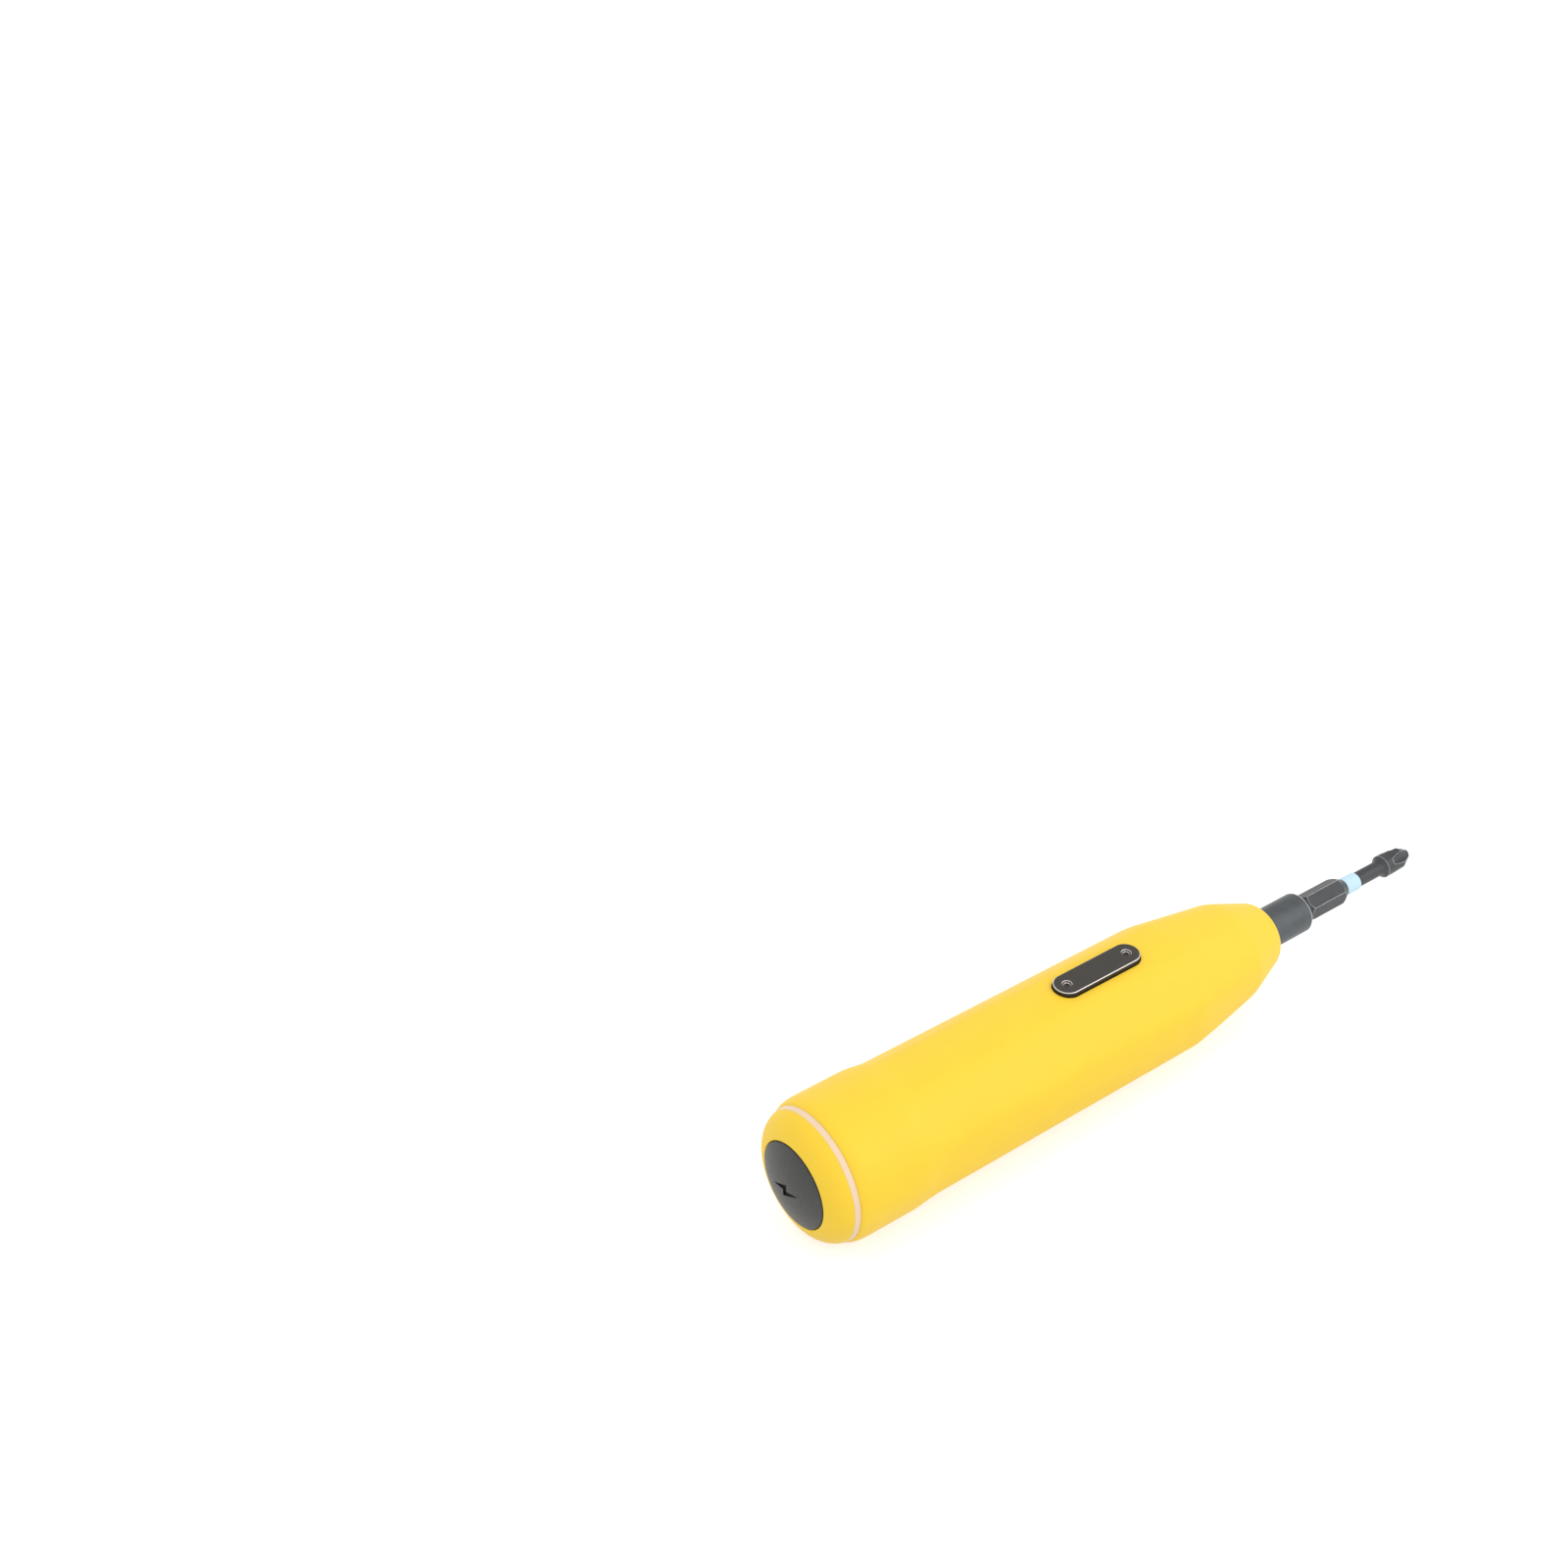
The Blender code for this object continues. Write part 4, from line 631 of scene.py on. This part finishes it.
def bit():
    corner = HEX_ACROSS / math.sqrt(3)
    profile = bit_profile(corner, corner + STOCK_ROOM)
    steel = piece("cross_bit", turned_mesh("cross_bit", profile, 96), BIT_STEEL, EDGE_HIGHLIGHT)
    back, front = BIT_S - SLEEVE_ROOM[0], BIT_HEX_END_S + SLEEVE_ROOM[1]
    steps = [(2 * corner, back), (2 * corner, front), (corner, front), (corner, back)]
    rings = [[place(s, a, b) for a, b in circle(r, 6, HEX_TURN)] for r, s in steps]
    carve(steel, "DIFFERENCE", mesh_of("sleeve", rings, closed=True))
    out, half = FLUTE_WEB + FLUTE_R, FLUTE_LENGTH / 2
    for number in range(4):
        turn = (number + 0.5) * math.pi / 2
        tube = turned_mesh("flute", [(0, half), (FLUTE_R, half), (FLUTE_R, -half), (0, -half)], 48)
        lean = Vector((-math.cos(FLUTE_LEAN), math.sin(FLUTE_LEAN) * math.cos(turn),
                       math.sin(FLUTE_LEAN) * math.sin(turn)))
        tube.transform(Matrix.Translation(-place(0)))
        tube.transform(lean.to_track_quat("X", "Z").to_matrix().to_4x4())
        tube.transform(Matrix.Translation(place(TIP_S, out * math.cos(turn), out * math.sin(turn))))
        carve(steel, "DIFFERENCE", tube)

    # Sharp edges of the head, and sharp edges elsewhere that do not run along the axis, get bevels of pale
    # painted highlight.
    def highlighted(edge):
        run = (edge.verts[0].co - edge.verts[1].co).normalized()
        middle = (edge.verts[0].co + edge.verts[1].co) / 2
        in_head = middle.x > place(SHOULDER_BIT_S[0]).x
        sharp = edge.calc_face_angle(0.0) > HIGHLIGHT_ANGLE
        return sharp and (in_head or abs(run.x) < LENGTHWISE)

    edge_bevel(steel, HIGHLIGHT_BEVEL, 1, highlighted)
    shade(steel, sharp=22)
    join_on(steel, "bit", "screw_bit", slot="dark_steel")
    bit_ring()


def bit_ring():
    inner, outer = BIT_RING_R
    back, front = BIT_RING_S
    band = rounded([(inner, back, 0, 0), (outer, back, BIT_RING_EDGE, 0),
                    (outer, front, BIT_RING_EDGE, 0), (inner, front, 0, 0)])
    ring = piece("colour_ring", turned_mesh("colour_ring", band, 64, closed=True), BLUE)
    join_on(ring, "bit", "bit_ring", slot="light_blue")


# Floor, light and camera

def strongest(nodes, links, names):
    """1 for the kinds of ray that are named, 0 for every other."""
    path = nodes.new("ShaderNodeLightPath")
    total = path.outputs[names[0]]
    for name in names[1:]:
        most = nodes.new("ShaderNodeMath")
        most.operation = "MAXIMUM"
        links.new(total, most.inputs[0])
        links.new(path.outputs[name], most.inputs[1])
        total = most.outputs["Value"]
    return total


def floor():
    """A pale floor under the two lines that the tool lies on."""
    flare, shoulder = place(FLARE_END_S, 0, -FLARE_R), place(SHOULDER_S, 0, -SHOULDER_R)
    slope = (shoulder.z - flare.z) / (shoulder.x - flare.x)
    ground = bmesh.new()
    corners = []
    for x, y in ((-1, -1), (1, -1), (1, 1), (-1, 1)):
        height = flare.z + slope * (x * FLOOR_REACH - flare.x)
        corners.append(ground.verts.new((x * FLOOR_REACH, y * FLOOR_REACH, height)))
    ground.faces.new(corners)
    mesh = bpy.data.meshes.new("floor")
    ground.to_mesh(mesh)
    ground.free()
    mesh.materials.append(paper())
    sheet = bpy.data.objects.new("floor", mesh)
    scene.collection.objects.link(sheet)


def paper():
    """A matt floor that glows for the rays that show it, so that it is white and keeps the shadow."""
    made = bpy.data.materials.new("paper")
    made.use_nodes = True
    nodes, links = made.node_tree.nodes, made.node_tree.links
    nodes.remove(nodes["Principled BSDF"])
    matt = nodes.new("ShaderNodeBsdfDiffuse")
    matt.inputs["Color"].default_value = (FLOOR_COLOUR, FLOOR_COLOUR, FLOOR_COLOUR, 1)
    glow = nodes.new("ShaderNodeEmission")
    glow.inputs["Color"].default_value = (FLOOR_GLOW, FLOOR_GLOW, FLOOR_GLOW, 1)
    links.new(strongest(nodes, links, SEEN_RAYS), glow.inputs["Strength"])
    both = nodes.new("ShaderNodeAddShader")
    links.new(matt.outputs["BSDF"], both.inputs[0])
    links.new(glow.outputs["Emission"], both.inputs[1])
    links.new(both.outputs["Shader"], nodes["Material Output"].inputs["Surface"])
    return made


def studio():
    """Even light from all round, and the same white where the background is seen."""
    world = bpy.data.worlds.new("studio")
    world.use_nodes = True
    scene.world = world
    nodes, links = world.node_tree.nodes, world.node_tree.links
    light, white = nodes["Background"], nodes.new("ShaderNodeBackground")
    for background in (light, white):
        background.inputs["Color"].default_value = (1, 1, 1, 1)
    light.inputs["Strength"].default_value = WORLD_LIGHT
    choice = nodes.new("ShaderNodeMixShader")
    links.new(strongest(nodes, links, SEEN_RAYS), choice.inputs["Fac"])
    links.new(light.outputs["Background"], choice.inputs[1])
    links.new(white.outputs["Background"], choice.inputs[2])
    links.new(choice.outputs["Shader"], nodes["World Output"].inputs["Surface"])


def softbox():
    """A large lamp on the side of the bit and of the camera's right hand."""
    lamp = bpy.data.lights.new("softbox", "AREA")
    lamp.shape = "RECTANGLE"
    lamp.size, lamp.size_y = SOFTBOX_SIZE
    lamp.energy = SOFTBOX_WATTS
    box = bpy.data.objects.new("softbox", lamp)
    box.location = SOFTBOX_AT
    box.rotation_euler = (-box.location).to_track_quat("-Z", "Y").to_euler()
    scene.collection.objects.link(box)


def photo_camera():
    """The photograph's camera: turned from +X towards +Y, and tilted down."""
    eye = bpy.data.cameras.new("photo")
    eye.lens, eye.sensor_width, eye.sensor_fit = LENS, SENSOR, "HORIZONTAL"
    eye.clip_start, eye.clip_end = CLIP
    camera = bpy.data.objects.new("photo", eye)
    camera.location = CAMERA_AT
    camera.rotation_euler = (math.pi / 2 - CAMERA_TILT, 0, CAMERA_TURN - math.pi / 2)
    scene.collection.objects.link(camera)
    scene.camera = camera
    scene.view_settings.view_transform = "Standard"


for row in frame["record"]["subparts"]:
    node = frame["nodes"][row["node"]]
    node.data.materials.clear()
    node.data.materials.append(SLOTS[row["material_slot"]])

body()
tail()
switch()
holder()
bit()
floor()
studio()
softbox()
photo_camera()
